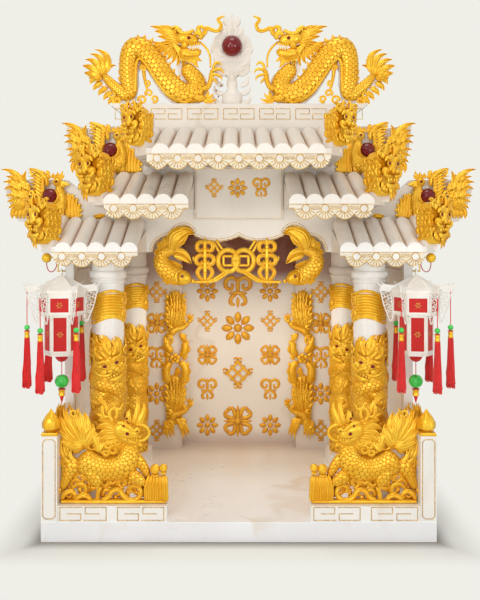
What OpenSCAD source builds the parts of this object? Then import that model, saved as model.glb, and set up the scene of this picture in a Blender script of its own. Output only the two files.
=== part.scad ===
// Household earth god shrine: a marble pavilion with gilt carvings under three tiers of tiled roofs.
// Origin at the centre of the base slab's underside, +X to the right, +Y to the back, +Z up.

/* [Base] */
// Width of the base slab
base_w = 610; // [570:5:740]
// Depth of the base slab
base_d = 480; // [400:5:580]
// Thickness of the base slab
base_t = 31; // [20:1:45]

/* [Fence] */
// Side of the square corner posts
post_s = 25; // [20:1:30]
// Height of the corner posts
post_h = 132; // [100:1:160]
// Height of the lotus finials on the posts
finial_h = 40; // [30:1:44]
// Height of the low plinths under the fence carvings
plinth_h = 24; // [16:1:36]
// Depth of the low plinths, front to back
plinth_t = 28; // [24:1:36]
// Thickness of the fence carvings
fence_carving_t = 22; // [14:1:24]
// Clear way between the two front plinths
gate_w = 222; // [160:2:280]

/* [Columns] */
// Diameter of the column shafts
col_d = 52.7; // [44:0.1:56]
// Width of the collar above its shaft
collar_proud = 3.6; // [2:0.1:5]
// Side of the square column plinths
col_plinth_s = 66; // [62:1:72]
// Height of the square column plinths
col_plinth_h = 25; // [15:1:35]
// How far the coiled dragons stand out from the shaft
coil_proud = 7; // [4:0.5:8]

/* [Walls] */
// Height from the base slab up to the lower eaves
storey_h = 414; // [380:1:500]
// Height of the arch wall above the lower eaves
arch_wall_h = 52; // [50:1:70]
// Thickness of the marble boards
wall_t = 15; // [10:1:18]
// Width of the recess in the back wall
recess_w = 240; // [200:2:260]
// Depth of the recess in the back wall
recess_d = 46; // [30:1:46]
// Thickness of the deck over the room
deck_t = 12; // [8:1:18]

/* [Roofs] */
// Slope of the tiled roofs
pitch = 15; // [10:0.5:18]
// Height of the plain fascia
fascia_h = 10; // [7:0.5:14]
// Height of the petal lace under the eaves
lace_h = 22; // [16:0.5:24]
// Distance between two petals of the lace
lace_pitch = 32.2; // [28:0.1:36]
// How far the lower roofs reach out in front of the arch wall
low_reach = 109; // [90:1:112]
// How far the middle roofs reach out
mid_reach = 139; // [120:1:142]
// How far the top roof reaches out
top_reach = 161; // [150:1:170]
// Rise from one roof tier to the next
tier_h = 75; // [70:1:90]

/* [Ridge] */
// Height of the ridge block
ridge_h = 58; // [44:1:64]
// Thickness of the ridge block
ridge_t = 43; // [30:1:50]
// Radius of the glass pearl
pearl_r = 18; // [12:0.5:20]

/* [Lanterns] */
// Distance from the lantern's axis to its corner cords
lantern_r = 54; // [40:1:54]
// Height of the lantern body under its roof
lantern_h = 104; // [80:1:110]
// Radius of the wire of the hooks and rings
wire_r = 1.2; // [1:0.1:1.4]

/* [Hidden] */
$fn = 48;

// Heights
floor_z = base_t;
soffit_z = base_t + storey_h;
deck_z = soffit_z + arch_wall_h;
mid_z = soffit_z + tier_h;
top_z = mid_z + tier_h;

// Places across the width
wall_out_x = base_w / 2 - 9;
wall_in_x = wall_out_x - wall_t;
post_in_x = base_w / 2 - post_s;
front_col_x = base_w / 2 - 86;
back_col_x = base_w / 2 - 98;
low_in_x = base_w / 2 - 143.5;
low_out_x = base_w / 2 + 14;
mid_out_x = base_w / 2 - 75;
plaque_w = 153;
mid_in_x = plaque_w / 2 + 1.5;
top_half_w = base_w / 2 - 144;
arch_half_w = base_w / 2 - 153;

// Places from front to back
front_y = -base_d / 2;
arch_wall_y = front_y + 145;
arch_back_y = arch_wall_y + wall_t;
front_col_y = front_y + 95;
back_col_y = base_d / 2 - 192;
rear_y = base_d / 2 - 35;
recess_y = rear_y - wall_t;
panel_y = recess_y - recess_d;
side_wall_y = front_y + 111;
plinth_y = front_y + 2;
post_y = front_y;

// Roof heights at a distance in front of the arch wall
function slope_z(z, reach, at) = z + fascia_h + (reach - at) * tan(pitch);
mid_wing_z = slope_z(mid_z, mid_reach, 0) + 10;
ridge_over = (ridge_t - wall_t) / 2;
ridge_z = slope_z(top_z, top_reach, ridge_over);
ridge_top_z = ridge_z + ridge_h;
ridge_y = arch_wall_y - ridge_over;

// Corner seats of the roofs, where the masks hang
corner_cut = 20;
corner_block_w = 24;
corner_block_d = 18;
mask_t = 26;
mask_w = 46;
mask_h = 76;

module both() { children(); mirror([1, 0, 0]) children(); }

// A flat piece drawn in X and Z, with its front face at y
module upright(y, t) { translate([0, y + t, 0]) rotate([90, 0, 0]) linear_extrude(t) children(); }

// Round-ended bands through points of the form [x, z, radius]
module band(points) {
  for (i = [1:len(points) - 1]) hull() {
    translate([points[i - 1][0], points[i - 1][1]]) circle(points[i - 1][2], $fn = 16);
    translate([points[i][0], points[i][1]]) circle(points[i][2], $fn = 16);
  }
}

module box(x0, x1, y0, y1, z0, z1) {
  translate([x0, y0, z0]) cube([x1 - x0, y1 - y0, z1 - z0]);
}

// ---- Base and fence ----
module base_slab() {
  color("whitesmoke") box(-base_w / 2, base_w / 2, -base_d / 2, base_d / 2, 0, base_t);
}

module corner_posts() {
  color("whitesmoke") both()
    box(post_in_x, base_w / 2, post_y, post_y + post_s, floor_z, floor_z + post_h);
}

module post_finials() {
  foot_s = post_s - 3;
  foot_h = 7;
  bud_r = post_s / 2 - 0.3;
  color("gold") both() translate([base_w / 2 - post_s / 2, post_y + post_s / 2, floor_z + post_h]) {
    translate([-foot_s / 2, -foot_s / 2, 0]) cube([foot_s, foot_s, foot_h]);
    translate([0, 0, foot_h]) rotate_extrude()
      polygon([[0, 0], [bud_r * 0.6, 0], [bud_r, 8], [bud_r, 14], [bud_r * 0.7, 24], [2, finial_h - foot_h],
        [0, finial_h - foot_h]]);
  }
}

module front_plinths() {
  color("whitesmoke") both()
    box(gate_w / 2, post_in_x, plinth_y, plinth_y + plinth_t, floor_z, floor_z + plinth_h);
}

module side_plinths() {
  color("whitesmoke") both()
    box(wall_in_x, wall_out_x + 6, post_y + post_s, side_wall_y, floor_z, floor_z + plinth_h);
}

// The front carving falls from the post and the raised head to the low drapery at the gate
module front_fence_carvings() {
  w = post_in_x - gate_w / 2;
  profile = [[0, 0], [0, 0.82], [0.12, 0.89], [0.24, 0.8], [0.38, 0.86], [0.47, 0.97], [0.64, 1],
    [0.8, 0.92], [0.85, 0.71], [0.9, 0.45], [1, 0.26], [1, 0]];
  h = 167;
  color("gold") both() upright(plinth_y + (plinth_t - fence_carving_t) / 2, fence_carving_t)
    polygon([for (p = profile) [post_in_x - p[0] * w, floor_z + plinth_h + p[1] * h]]);
}

module side_fence_carvings() {
  y0 = post_y + post_s;
  len_y = side_wall_y - y0;
  profile = [[0, 0], [0, 1], [0.2, 0.92], [0.45, 0.86], [0.7, 0.7], [1, 0.55], [1, 0]];
  h = 150;
  color("gold") both() translate([wall_out_x + 3, 0, 0]) rotate([90, 0, -90]) linear_extrude(fence_carving_t - 6)
    polygon([for (p = profile) [-(y0 + p[0] * len_y), floor_z + plinth_h + p[1] * h]]);
}

// ---- Columns ----
module at_columns(front, back) {
  both() {
    if (front) translate([front_col_x, front_col_y, 0]) children();
    if (back) translate([back_col_x, back_col_y, 0]) children();
  }
}

col_z = floor_z + col_plinth_h;

module column_plinths() {
  color("whitesmoke") at_columns(true, true)
    box(-col_plinth_s / 2, col_plinth_s / 2, -col_plinth_s / 2, col_plinth_s / 2, floor_z, col_z);
}

module column(top_z) {
  collar_h = 9;
  collar_z = soffit_z - 41;
  color("whitesmoke") {
    translate([0, 0, col_z]) cylinder(h = top_z - col_z, d = col_d);
    translate([0, 0, collar_z]) cylinder(h = collar_h, d = col_d + 2 * collar_proud);
  }
}

module front_columns() { at_columns(true, false) column(soffit_z); }
module back_columns() { at_columns(false, true) column(deck_z); }

// A sleeve round a shaft, made as a turned ring
module sleeve(z0, z1, proud) {
  translate([0, 0, z0]) rotate_extrude() translate([col_d / 2, 0]) square([proud, z1 - z0]);
}

module cloud_bands() {
  color("gold") at_columns(true, true) sleeve(soffit_z - 116, soffit_z - 64, 3.6);
}

// The dragon's coils close round the shaft, with the head standing out on the inner front side
module column_dragon(head_z) {
  head_r = 15;
  color("gold") difference() {
    union() {
      sleeve(col_z, soffit_z - 125, coil_proud);
      translate([-(col_d / 2 + 2), -(col_d / 2 - 6), head_z]) sphere(head_r);
    }
    translate([0, 0, col_z - 1]) cylinder(h = storey_h, d = col_d);
  }
}

module front_column_dragons() { at_columns(true, false) column_dragon(soffit_z - 190); }
module back_column_dragons() { at_columns(false, true) column_dragon(soffit_z - 205); }

// ---- Walls ----
module side_walls() {
  color("whitesmoke") both() {
    box(wall_in_x, wall_out_x, side_wall_y, rear_y, floor_z, soffit_z);
    box(wall_in_x, wall_out_x, arch_back_y, rear_y, soffit_z, deck_z);
  }
}

module back_side_panels() {
  color("whitesmoke") both()
    box(recess_w / 2, wall_in_x, panel_y, panel_y + wall_t, floor_z, deck_z);
}

module recess_jambs() {
  color("whitesmoke") both()
    box(recess_w / 2, recess_w / 2 + wall_t, panel_y + wall_t, recess_y, floor_z, deck_z);
}

module back_centre_panel() {
  color("whitesmoke") box(-recess_w / 2 - wall_t, recess_w / 2 + wall_t, recess_y, rear_y, floor_z, deck_z);
}

module rear_boards() {
  color("whitesmoke") both()
    box(recess_w / 2 + wall_t, wall_in_x, recess_y, rear_y, floor_z, deck_z);
}

module deck() {
  color("whitesmoke") box(-wall_out_x, wall_out_x, arch_back_y, rear_y, deck_z, deck_z + deck_t);
}

// ---- Arch wall ----
function arc(x, z, r, a0, a1, n) = [for (i = [0:n]) let (a = a0 + (a1 - a0) * i / n) [x + r * cos(a), z + r * sin(a)]];

// Left half of the cusped opening, from the springing to the middle
lobe_r = 29;
crown_r = 19.5;
arch_half = concat(
  arc(-arch_half_w + lobe_r + 1, 0, lobe_r, 180, 84, 8),
  arc(-arch_half_w + 55, 27, crown_r, 175, 0, 10),
  arc(-arch_half_w / 4, 101, 82.8, 242, 295, 8),
  [[0, 27.5]]);

module arch_opening() {
  translate([0, soffit_z]) {
    polygon(concat([[-arch_half_w + 1, -5]], arch_half, [[0, -5]]));
    mirror([1, 0]) polygon(concat([[-arch_half_w + 1, -5]], arch_half, [[0, -5]]));
  }
}

module arch_wall() {
  low = mid_wing_z - deck_z;
  step1 = base_w / 2 - 90;
  step2 = base_w / 2 - 170;
  color("whitesmoke") upright(arch_wall_y, wall_t) difference() {
    polygon([[-wall_out_x, soffit_z], [wall_out_x, soffit_z], [wall_out_x, deck_z], [step1, deck_z],
      [step1, deck_z + low], [step2, deck_z + low], [step2, ridge_z], [-step2, ridge_z],
      [-step2, deck_z + low], [-step1, deck_z + low], [-step1, deck_z], [-wall_out_x, deck_z]]);
    arch_opening();
  }
}

module plaque() {
  plaque_t = 6;
  color("whitesmoke") box(-plaque_w / 2, plaque_w / 2, arch_wall_y - plaque_t, arch_wall_y,
    deck_z + 5, top_z - 2);
}

module arch_carps() {
  carp_t = 12;
  color("gold") both() upright(arch_wall_y - carp_t, carp_t)
    translate([arch_half_w, soffit_z]) band([[-46, 40, 7], [-26, 37, 10], [-10, 25, 12], [-6, 5, 14],
      [-12, -15, 14], [-22, -30, 13], [-38, -42, 12], [-52, -42, 8]]);
}

// Two pierced coins hang from straps between the carps, with a scroll and a knot on each side
module coin_fretwork() {
  fret_t = 10;
  coin_r = 22;
  coin_x = 16;
  coin_z = -17;
  strap_x = 25;
  knot_x = 62;
  head_z = 34;
  color("gold") upright(arch_wall_y - fret_t, fret_t) translate([0, soffit_z]) for (s = [0, 1]) mirror([s, 0]) {
    translate([coin_x, coin_z]) difference() { circle(coin_r); square(12, center = true); }
    translate([strap_x - 3, coin_z + 15]) square([6, head_z - coin_z - 15]);
    band([[37, -14, 4], [50, -17, 4], [66, -24, 4], [80, -31, 4], [arch_half_w - 62, -36, 3.4]]);
    translate([knot_x, 2]) circle(14);
    translate([knot_x - 3, -22]) square([6, head_z + 22]);
  }
}

module phoenix_strips() {
  strip_t = 12;
  x0 = recess_w / 2 - 13;
  color("gold") both() upright(panel_y - strip_t, strip_t)
    polygon([[x0, floor_z + 16], [x0 + 22, floor_z + 16], [x0 + 40, floor_z + 70], [x0 + 50, floor_z + 170],
      [x0 + 51, floor_z + 330], [x0 + 30, floor_z + 343], [x0 + 18, floor_z + 270], [x0, floor_z + 200]]);
}

// ---- Roofs ----
// Half of a roof: a marble block that spans x0 to x1 and falls away from the arch wall. Its outer front
// corner is cut off, or both front corners where both_ends is true. The top is level to near.
module roof_half(x0, x1, z, reach, both_ends, near) {
  top_back = fascia_h + (reach - near) * tan(pitch);
  left_end = both_ends ? [[x0, -reach + corner_cut], [x0 + corner_cut, -reach]] : [[x0, -reach]];
  intersection() {
    translate([x0, 0, 0]) rotate([90, 0, 90]) linear_extrude(x1 - x0)
      polygon([[-reach, z], [0, z], [0, z + top_back], [-near, z + top_back], [-reach, z + fascia_h]]);
    translate([0, 0, z - 1]) linear_extrude(top_back + 2)
      polygon(concat(left_end, [[x1 - corner_cut, -reach], [x1, -reach + corner_cut], [x1, 1], [x0, 1]]));
  }
}

// The marble seat that stands on a cut corner and carries the gilt mask
module corner_seat(x, z, reach) {
  translate([x - corner_cut / 2, arch_wall_y - reach + corner_cut / 2, z + fascia_h / 2]) rotate([0, 0, 45])
    translate([-corner_block_w / 2, 0, 0]) cube([corner_block_w, corner_block_d, mask_h * 0.8]);
}

module lower_roofs() {
  color("whitesmoke") both() {
    translate([0, arch_wall_y, 0]) roof_half(low_in_x, low_out_x, soffit_z, low_reach, false, 0);
    corner_seat(low_out_x, soffit_z, low_reach);
  }
}

module middle_roofs() {
  color("whitesmoke") both() {
    translate([0, arch_wall_y, 0]) roof_half(mid_in_x, mid_out_x, mid_z, mid_reach, false, 0);
    corner_seat(mid_out_x, mid_z, mid_reach);
    translate([0, arch_back_y, 0]) mirror([0, 1, 0])
      roof_half(mid_in_x, mid_out_x, mid_z, mid_reach, false, 0);
  }
}

module top_roof() {
  color("whitesmoke") {
    translate([0, arch_wall_y, 0])
      roof_half(-top_half_w, top_half_w, top_z, top_reach, true, ridge_over);
    both() corner_seat(top_half_w, top_z, top_reach);
    translate([0, arch_back_y, 0]) mirror([0, 1, 0])
      roof_half(-top_half_w, top_half_w, top_z, top_reach, true, ridge_over);
  }
}

// A hanging band of half-round petals under an eave
module lace(x0, x1, z, y) {
  lace_t = 5;
  band_h = lace_h * 0.45;
  petals = floor((x1 - x0) / lace_pitch);
  start = (x0 + x1) / 2 - (petals - 1) * lace_pitch / 2;
  color("wheat") upright(y, lace_t) {
    translate([x0, z - band_h]) square([x1 - x0, band_h]);
    for (i = [0:petals - 1]) translate([start + i * lace_pitch, z - band_h]) intersection() {
      circle(lace_h - band_h);
      translate([-lace_h, -lace_h]) square([2 * lace_h, lace_h]);
    }
  }
}

module lower_lace() {
  both() lace(low_in_x, low_out_x - corner_cut - 1, soffit_z, arch_wall_y - low_reach);
}
module middle_lace() {
  both() lace(mid_in_x, mid_out_x - corner_cut - 1, mid_z, arch_wall_y - mid_reach);
}
module top_lace() {
  lace(-top_half_w + corner_cut + 1, top_half_w - corner_cut - 1, top_z, arch_wall_y - top_reach);
}

// ---- Wings with phoenixes ----
// Outlines run outward from the inner end of each wing, in the plane of the arch wall, and touch the
// underside of the roof above
low_rise = mid_z - deck_z;
mid_rise = top_z - mid_wing_z;
low_wing_x = base_w / 2 - 90;
mid_wing_x = base_w / 2 - 170;
low_wing = [[0, 0], [0, 0.7 * low_rise], [30, low_rise + 11], [60, 52], [85, 74], [110, 75], [140, 72], [180, 78], [195, 60],
  [182, 20], [170, 2], [110, 0]];
mid_wing = [[0, 0], [4, 0.78 * mid_rise], [22, mid_rise + 12], [30, 44], [50, 64], [70, 88], [95, 88], [125, 84], [168, 92],
  [163, 50], [155, 14], [100, 0]];

module wing(x, z, outline, y, t) { upright(y, t) translate([x, z]) polygon(outline); }

module lower_wing_boards() {
  color("whitesmoke") both() wing(low_wing_x, deck_z, low_wing, arch_wall_y, wall_t);
}
module middle_wing_boards() {
  color("whitesmoke") both() wing(mid_wing_x, mid_wing_z, mid_wing, arch_wall_y, wall_t);
}

// The gilt bird lies on the outer part of its board, a little proud of the outline
phoenix_t = 16;
low_bird = [[57, 4], [60, 30], [80, 50], [71, 59], [84, 80], [112, 78], [142, 75], [190, 82], [197, 62],
  [184, 20], [176, 4]];
mid_bird = [[30, 4], [34, 30], [58, 46], [52, 66], [68, 90], [95, 90], [125, 86], [172, 94], [165, 50],
  [158, 16], [104, 4]];

module lower_phoenixes() {
  color("gold") both() wing(low_wing_x, deck_z, low_bird, arch_wall_y - phoenix_t, phoenix_t);
}
module middle_phoenixes() {
  color("gold") both() wing(mid_wing_x, mid_wing_z, mid_bird, arch_wall_y - phoenix_t, phoenix_t);
}

// ---- Masks on the roof corners ----
module mask(x, z, reach) {
  shape = [[-0.28, 0], [0.28, 0], [0.4, 0.25], [0.5, 0.6], [0.48, 0.85], [0.3, 0.93], [0.12, 1],
    [-0.12, 1], [-0.3, 0.93], [-0.48, 0.85], [-0.5, 0.6], [-0.4, 0.25]];
  color("gold") translate([x - corner_cut / 2, arch_wall_y - reach + corner_cut / 2, z + fascia_h + 1])
    rotate([90, 0, 45]) linear_extrude(mask_t) polygon([for (p = shape) [p[0] * mask_w, p[1] * mask_h]]);
}

module lower_corner_masks() { both() mask(low_out_x, soffit_z, low_reach); }
module middle_corner_masks() { both() mask(mid_out_x, mid_z, mid_reach); }
module top_corner_masks() { both() mask(top_half_w, top_z, top_reach); }

// Gilt drops hang under the cut corners of the lower roofs
drop_r = 8;
drop_x = low_out_x - 8;
drop_y = arch_wall_y - low_reach + corner_cut - 2;
module corner_drops() {
  color("gold") both() translate([drop_x, drop_y, soffit_z - drop_r]) {
    sphere(drop_r);
    cylinder(h = drop_r, r = 3);
  }
}

// ---- Ridge ----
module ridge_block() {
  half = base_w / 2 - 155;
  flare = 75;
  color("whitesmoke") upright(ridge_y, ridge_t)
    polygon([[-half, ridge_z], [half, ridge_z], [half + 25, ridge_z + 22], [half + flare, ridge_top_z],
      [-half - flare, ridge_top_z], [-half - 25, ridge_z + 22]]);
}

// The dragon's tail lies outward over the roof end, its back loops up and its neck rises at the middle
dragon_t = 18;
backing_t = 12;
dragon_body = [[246, 48, 7], [226, 37, 9], [212, 26, 10], [196, 16, 13], [194, 40, 16], [195, 64, 16],
  [186, 90, 18], [173, 100, 20], [154, 87, 19], [139, 62, 19], [124, 40, 20], [108, 25, 20], [90, 16, 18],
  [72, 27, 16], [73, 42, 16], [86, 55, 14], [96, 68, 12]];
dragon_head = [[96, 68, 12], [88, 94, 18], [78, 112, 17], [62, 116, 12], [56, 134, 6], [40, 136, 4],
  [34, 144, 4], [26, 156, 2]];
dragon_mane = [[100, 78, 14], [118, 106, 14], [138, 134, 8], [152, 140, 3]];
dragon_tail = [[242, 52, 8], [258, 62, 18], [266, 78, 14], [258, 98, 4]];
dragon_claws = [[62, 34, 8], [48, 46, 8], [34, 56, 8]];
dragon_foot = [[72, 14, 12], [50, 6, 9], [34, 4, 6]];

module dragon_outline() {
  band(dragon_body);
  band(dragon_head);
  band(dragon_mane);
  band(dragon_tail);
  band(dragon_claws);
  band(dragon_foot);
}

module ridge_dragons() {
  color("gold") both() upright(arch_wall_y - 9, dragon_t) translate([0, ridge_top_z]) intersection() {
    dragon_outline();
    square([300, 200]);
  }
}

module ridge_backing() {
  color("whitesmoke") both() upright(arch_wall_y - 9 + dragon_t, backing_t) translate([0, ridge_top_z])
    intersection() {
      band([for (p = dragon_body) [p[0], p[1], p[2] + 1]]);
      square([300, 200]);
    }
}

// The pearl stands a little left of the middle, on a board cut as flames over a gourd
flame_x = -12;
flame_t = 14;
flame_y = arch_wall_y - 9 + dragon_t;
pearl_z = ridge_top_z + 104;

module flame_board() {
  half = [[0, 0], [19, 0], [18, 20], [10, 28], [10, 38], [5, 46], [9, 54], [24, 64], [32, 74], [34, 94],
    [38, 102], [30, 122], [14, 136], [8, 144], [4, 158], [0, 164]];
  left = [for (i = [len(half) - 2:-1:1]) [-half[i][0], half[i][1]]];
  color("whitesmoke") upright(flame_y, flame_t) translate([flame_x, ridge_top_z]) polygon(concat(half, left));
}

module pearl() {
  seat = pearl_r * 0.4;
  color("darkred") translate([flame_x, flame_y, pearl_z]) rotate([90, 0, 0]) rotate_extrude() intersection() {
    translate([0, seat]) circle(pearl_r);
    square(2 * pearl_r);
  }
}

// ---- Lanterns ----
lantern_x = base_w / 2 - 21;
lantern_y = arch_wall_y - low_reach + 8;
hook_drop = lace_h + 7;
hook_z = soffit_z - hook_drop;
hook_half = 6;
ring_r = 4.2;
ring_gap = 0.3;
ring_z = hook_z - (ring_r - 2 * wire_r) + ring_gap;
eave_z = ring_z - 28;
lantern_turn = 8;
cord_r = 0.8;

module lantern_hooks() {
  color("goldenrod") both() translate([lantern_x, lantern_y, 0]) {
    translate([hook_half, 0, hook_z]) cylinder(h = hook_drop, r = wire_r);
    translate([-hook_half, 0, hook_z]) rotate([0, 90, 0]) cylinder(h = 2 * hook_half + wire_r, r = wire_r);
  }
}

module lantern() {
  roof_r = 42;
  roof_rise = 22;
  body_r = 27;
  crown_r = 36;
  crown_h = 36;
  arm_t = 3;
  color("ivory") {
    translate([0, 0, ring_z]) rotate([0, 90, 0]) rotate_extrude() translate([ring_r, 0]) circle(wire_r);
    translate([0, 0, eave_z]) cylinder(h = ring_z - ring_r - eave_z, r = 2);
    rotate([0, 0, lantern_turn]) {
      translate([0, 0, eave_z]) cylinder(h = roof_rise, r1 = roof_r, r2 = 5, $fn = 6);
      translate([0, 0, eave_z - arm_t]) cylinder(h = arm_t, r = roof_r, $fn = 6);
      for (i = [0:5]) rotate([0, 0, 60 * i])
        translate([crown_r - 6, -arm_t / 2, eave_z - arm_t]) cube([lantern_r + 8 - crown_r, arm_t, 10]);
      translate([0, 0, eave_z - arm_t - crown_h]) cylinder(h = crown_h, r = crown_r, $fn = 6);
      translate([0, 0, eave_z - lantern_h]) cylinder(h = lantern_h - crown_h, r = body_r, $fn = 6);
    }
  }
}

// A corner cord with its bead, collar and silk tassel
module corner_tassel() {
  bead_z = eave_z - 48;
  tassel_top = bead_z - 17;
  tassel_end = soffit_z - 215;
  translate([0, 0, bead_z]) cylinder(h = eave_z - 3 - bead_z, r = cord_r);
  translate([0, 0, bead_z]) sphere(4);
  translate([0, 0, tassel_top]) cylinder(h = bead_z - tassel_top, r = 3);
  translate([0, 0, tassel_end]) cylinder(h = tassel_top - tassel_end, r = 4.5);
}

// Five corners carry a cord. The sixth, beside the column, has none.
module tassels() {
  color("red") rotate([0, 0, lantern_turn]) for (i = [1:5]) rotate([0, 0, 60 * i])
    translate([lantern_r, 0, 0]) corner_tassel();
}

module pendant() {
  top = eave_z - lantern_h;
  bead_r = 11;
  bead_z = top - 43;
  end_z = soffit_z - 231;
  color("limegreen") {
    translate([0, 0, bead_z]) cylinder(h = top - bead_z, r = cord_r);
    translate([0, 0, bead_z]) sphere(bead_r);
    translate([0, 0, end_z + 3]) cylinder(h = bead_z - end_z - 3, r = 4);
    translate([0, 0, end_z]) cylinder(h = 4, r = 1.5);
  }
}

module at_lantern(side) { translate([side * lantern_x, lantern_y, 0]) mirror([side > 0 ? 1 : 0, 0, 0]) children(); }

module left_lantern() { at_lantern(-1) lantern(); }
module left_lantern_tassels() { at_lantern(-1) tassels(); }
module left_lantern_pendant() { at_lantern(-1) pendant(); }
module right_lantern() { at_lantern(1) lantern(); }
module right_lantern_tassels() { at_lantern(1) tassels(); }
module right_lantern_pendant() { at_lantern(1) pendant(); }

// ---- Slack cords from the drops to the hooks ----
// Route of the cord, with x and y from the drop's foot; it ends on the side of the hook's wire
cord_route = [[0, 0, 0], [0, 0, -3], [-0.5, -0.5, -6], [-1.5, -1, -9], [-3, -2, -11.5], [-5, -3, -13.5],
  [-7.5, -4, -14.5], [-10, -5.5, -14.5], [-12.5, -7, -13.5], [-14.5, -8, -12], [-16.5, -9, -9.5],
  [-18, -9.7, -6.5], [-18.8, -10, -3.5], [-19, -10, -0.5], [-19, -10, 2.5], [-19, -10, 5.5]];

function unit(v) = v / norm(v);
function along(p, i) = unit(p[min(i + 1, len(p) - 1)] - p[max(i - 1, 0)]);
function ring(p, i, r, n) = let (t = along(p, i), u = unit(cross(t, [1, 3, 0])), v = cross(t, u))
  [for (k = [0:n - 1]) p[i] + r * (cos(360 * k / n) * u + sin(360 * k / n) * v)];

// A tube of n sides through the points p
module tube(p, r, n) {
  last = len(p) - 1;
  polyhedron([for (i = [0:last]) each ring(p, i, r, n)],
    concat([[for (k = [0:n - 1]) k]],
      [for (i = [0:last - 1], k = [0:n - 1]) let (a = i * n + k, b = i * n + (k + 1) % n)
        each [[a, a + n, b + n], [a, b + n, b]]],
      [[for (k = [n - 1:-1:0]) last * n + k]]));
}

module hanging_cords() {
  color("crimson") both() translate([drop_x, drop_y, soffit_z - 2 * drop_r]) tube(cord_route, cord_r, 8);
}

base_slab();
corner_posts();
post_finials();
front_plinths();
side_plinths();
front_fence_carvings();
side_fence_carvings();
column_plinths();
front_columns();
back_columns();
cloud_bands();
front_column_dragons();
back_column_dragons();
side_walls();
back_side_panels();
recess_jambs();
back_centre_panel();
rear_boards();
deck();
arch_wall();
plaque();
arch_carps();
coin_fretwork();
phoenix_strips();
lower_roofs();
middle_roofs();
top_roof();
lower_lace();
middle_lace();
top_lace();
lower_wing_boards();
middle_wing_boards();
lower_phoenixes();
middle_phoenixes();
lower_corner_masks();
middle_corner_masks();
top_corner_masks();
corner_drops();
ridge_block();
ridge_dragons();
ridge_backing();
flame_board();
pearl();
lantern_hooks();
hanging_cords();
left_lantern();
left_lantern_tassels();
left_lantern_pendant();
right_lantern();
right_lantern_tassels();
right_lantern_pendant();
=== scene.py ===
import math
import bpy
import numpy as np
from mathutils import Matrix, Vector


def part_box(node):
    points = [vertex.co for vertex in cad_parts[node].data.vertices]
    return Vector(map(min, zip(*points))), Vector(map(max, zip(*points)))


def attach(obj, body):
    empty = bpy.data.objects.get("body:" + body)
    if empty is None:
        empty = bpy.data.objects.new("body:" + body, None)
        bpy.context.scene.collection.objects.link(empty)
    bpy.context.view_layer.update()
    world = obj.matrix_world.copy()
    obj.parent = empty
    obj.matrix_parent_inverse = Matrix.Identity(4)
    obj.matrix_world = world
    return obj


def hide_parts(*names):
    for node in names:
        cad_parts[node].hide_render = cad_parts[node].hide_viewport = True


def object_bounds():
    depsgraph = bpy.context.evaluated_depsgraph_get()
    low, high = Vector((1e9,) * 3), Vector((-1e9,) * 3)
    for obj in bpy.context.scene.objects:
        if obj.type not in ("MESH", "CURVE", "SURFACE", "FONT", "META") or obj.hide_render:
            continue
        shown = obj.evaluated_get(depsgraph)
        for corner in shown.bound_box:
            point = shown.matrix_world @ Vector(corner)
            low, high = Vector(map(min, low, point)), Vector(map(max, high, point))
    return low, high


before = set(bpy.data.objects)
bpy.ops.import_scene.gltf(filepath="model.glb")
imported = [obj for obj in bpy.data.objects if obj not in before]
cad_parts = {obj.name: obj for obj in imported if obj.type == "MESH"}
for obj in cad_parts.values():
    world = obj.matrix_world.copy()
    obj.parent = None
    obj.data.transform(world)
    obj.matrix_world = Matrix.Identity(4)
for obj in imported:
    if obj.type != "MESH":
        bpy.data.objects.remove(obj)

cad_low, cad_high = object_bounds()
MM = 0.001


# ---- Studio ----
# The shrine stands on a pale floor that fades into a surround of the same colour. Soft round panels light
# it from the front, the sides and above, a small one hangs in the room, and the surround fills the shadows.
class Value:
    """The output of a node, in a shader or a geometry tree. Sums on it add Math nodes."""

    def __init__(self, tree, socket=None):
        self.tree, self.socket = tree, socket

    def put(self, kind, inputs=None, out=0, **settings):
        """Any node: its settings first, then the values or links of its sockets."""
        node = self.tree.nodes.new(kind)
        for name, value in settings.items():
            setattr(node, name, value)
        for name, value in (inputs or {}).items():
            if isinstance(value, Value):
                self.tree.links.new(value.socket, node.inputs[name])
            else:
                node.inputs[name].default_value = value
        return Value(self.tree, node.outputs[out])

    def math(self, operation, first, second=0.0):
        return self.put("ShaderNodeMath", {0: first, 1: second}, operation=operation)

    def vector(self, operation, first, second):
        return self.put("ShaderNodeVectorMath", {0: first, 1: second}, operation=operation)

    def __add__(self, other):
        return self.math("ADD", self, other)

    def __sub__(self, other):
        return self.math("SUBTRACT", self, other)

    def __mul__(self, other):
        return self.math("MULTIPLY", self, other)

    def __truediv__(self, other):
        return self.math("DIVIDE", self, other)

    def __rsub__(self, other):
        return self.math("SUBTRACT", other, self)

    __radd__ = __add__
    __rmul__ = __mul__

    def ease(self, low, high):
        """0 below low, 1 above high, and smooth between them."""
        return self.put("ShaderNodeMapRange", {0: self, 1: low, 2: high}, interpolation_type="SMOOTHSTEP")

    def mix(self, low, high):
        """The colour low where this value is 0, and high where it is 1."""
        return self.put("ShaderNodeMix", {0: self, 6: low, 7: high}, out=2, data_type="RGBA")

    def noise(self, scale, detail=3.0, out=0):
        return self.put("ShaderNodeTexNoise", {"Vector": self, "Scale": scale, "Detail": detail}, out=out)

    def bump(self, strength, distance):
        """The surface's direction where this value is its height."""
        return self.put("ShaderNodeBump", {"Strength": strength, "Distance": distance, "Height": self})


def material(name, constants, varying):
    """A Principled material: its constant sockets, and those that vary over the surface."""
    made = bpy.data.materials.new(name)
    made.use_nodes = True
    shader = made.node_tree.nodes["Principled BSDF"]
    for socket, value in constants.items():
        shader.inputs[socket].default_value = value
    for socket, value in varying(Value(made.node_tree)).items():
        made.node_tree.links.new(value.socket, shader.inputs[socket])
    return made


def place(start):
    """Where a point of the surface is, in metres."""
    return start.put("ShaderNodeTexCoord", out="Object")


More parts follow.
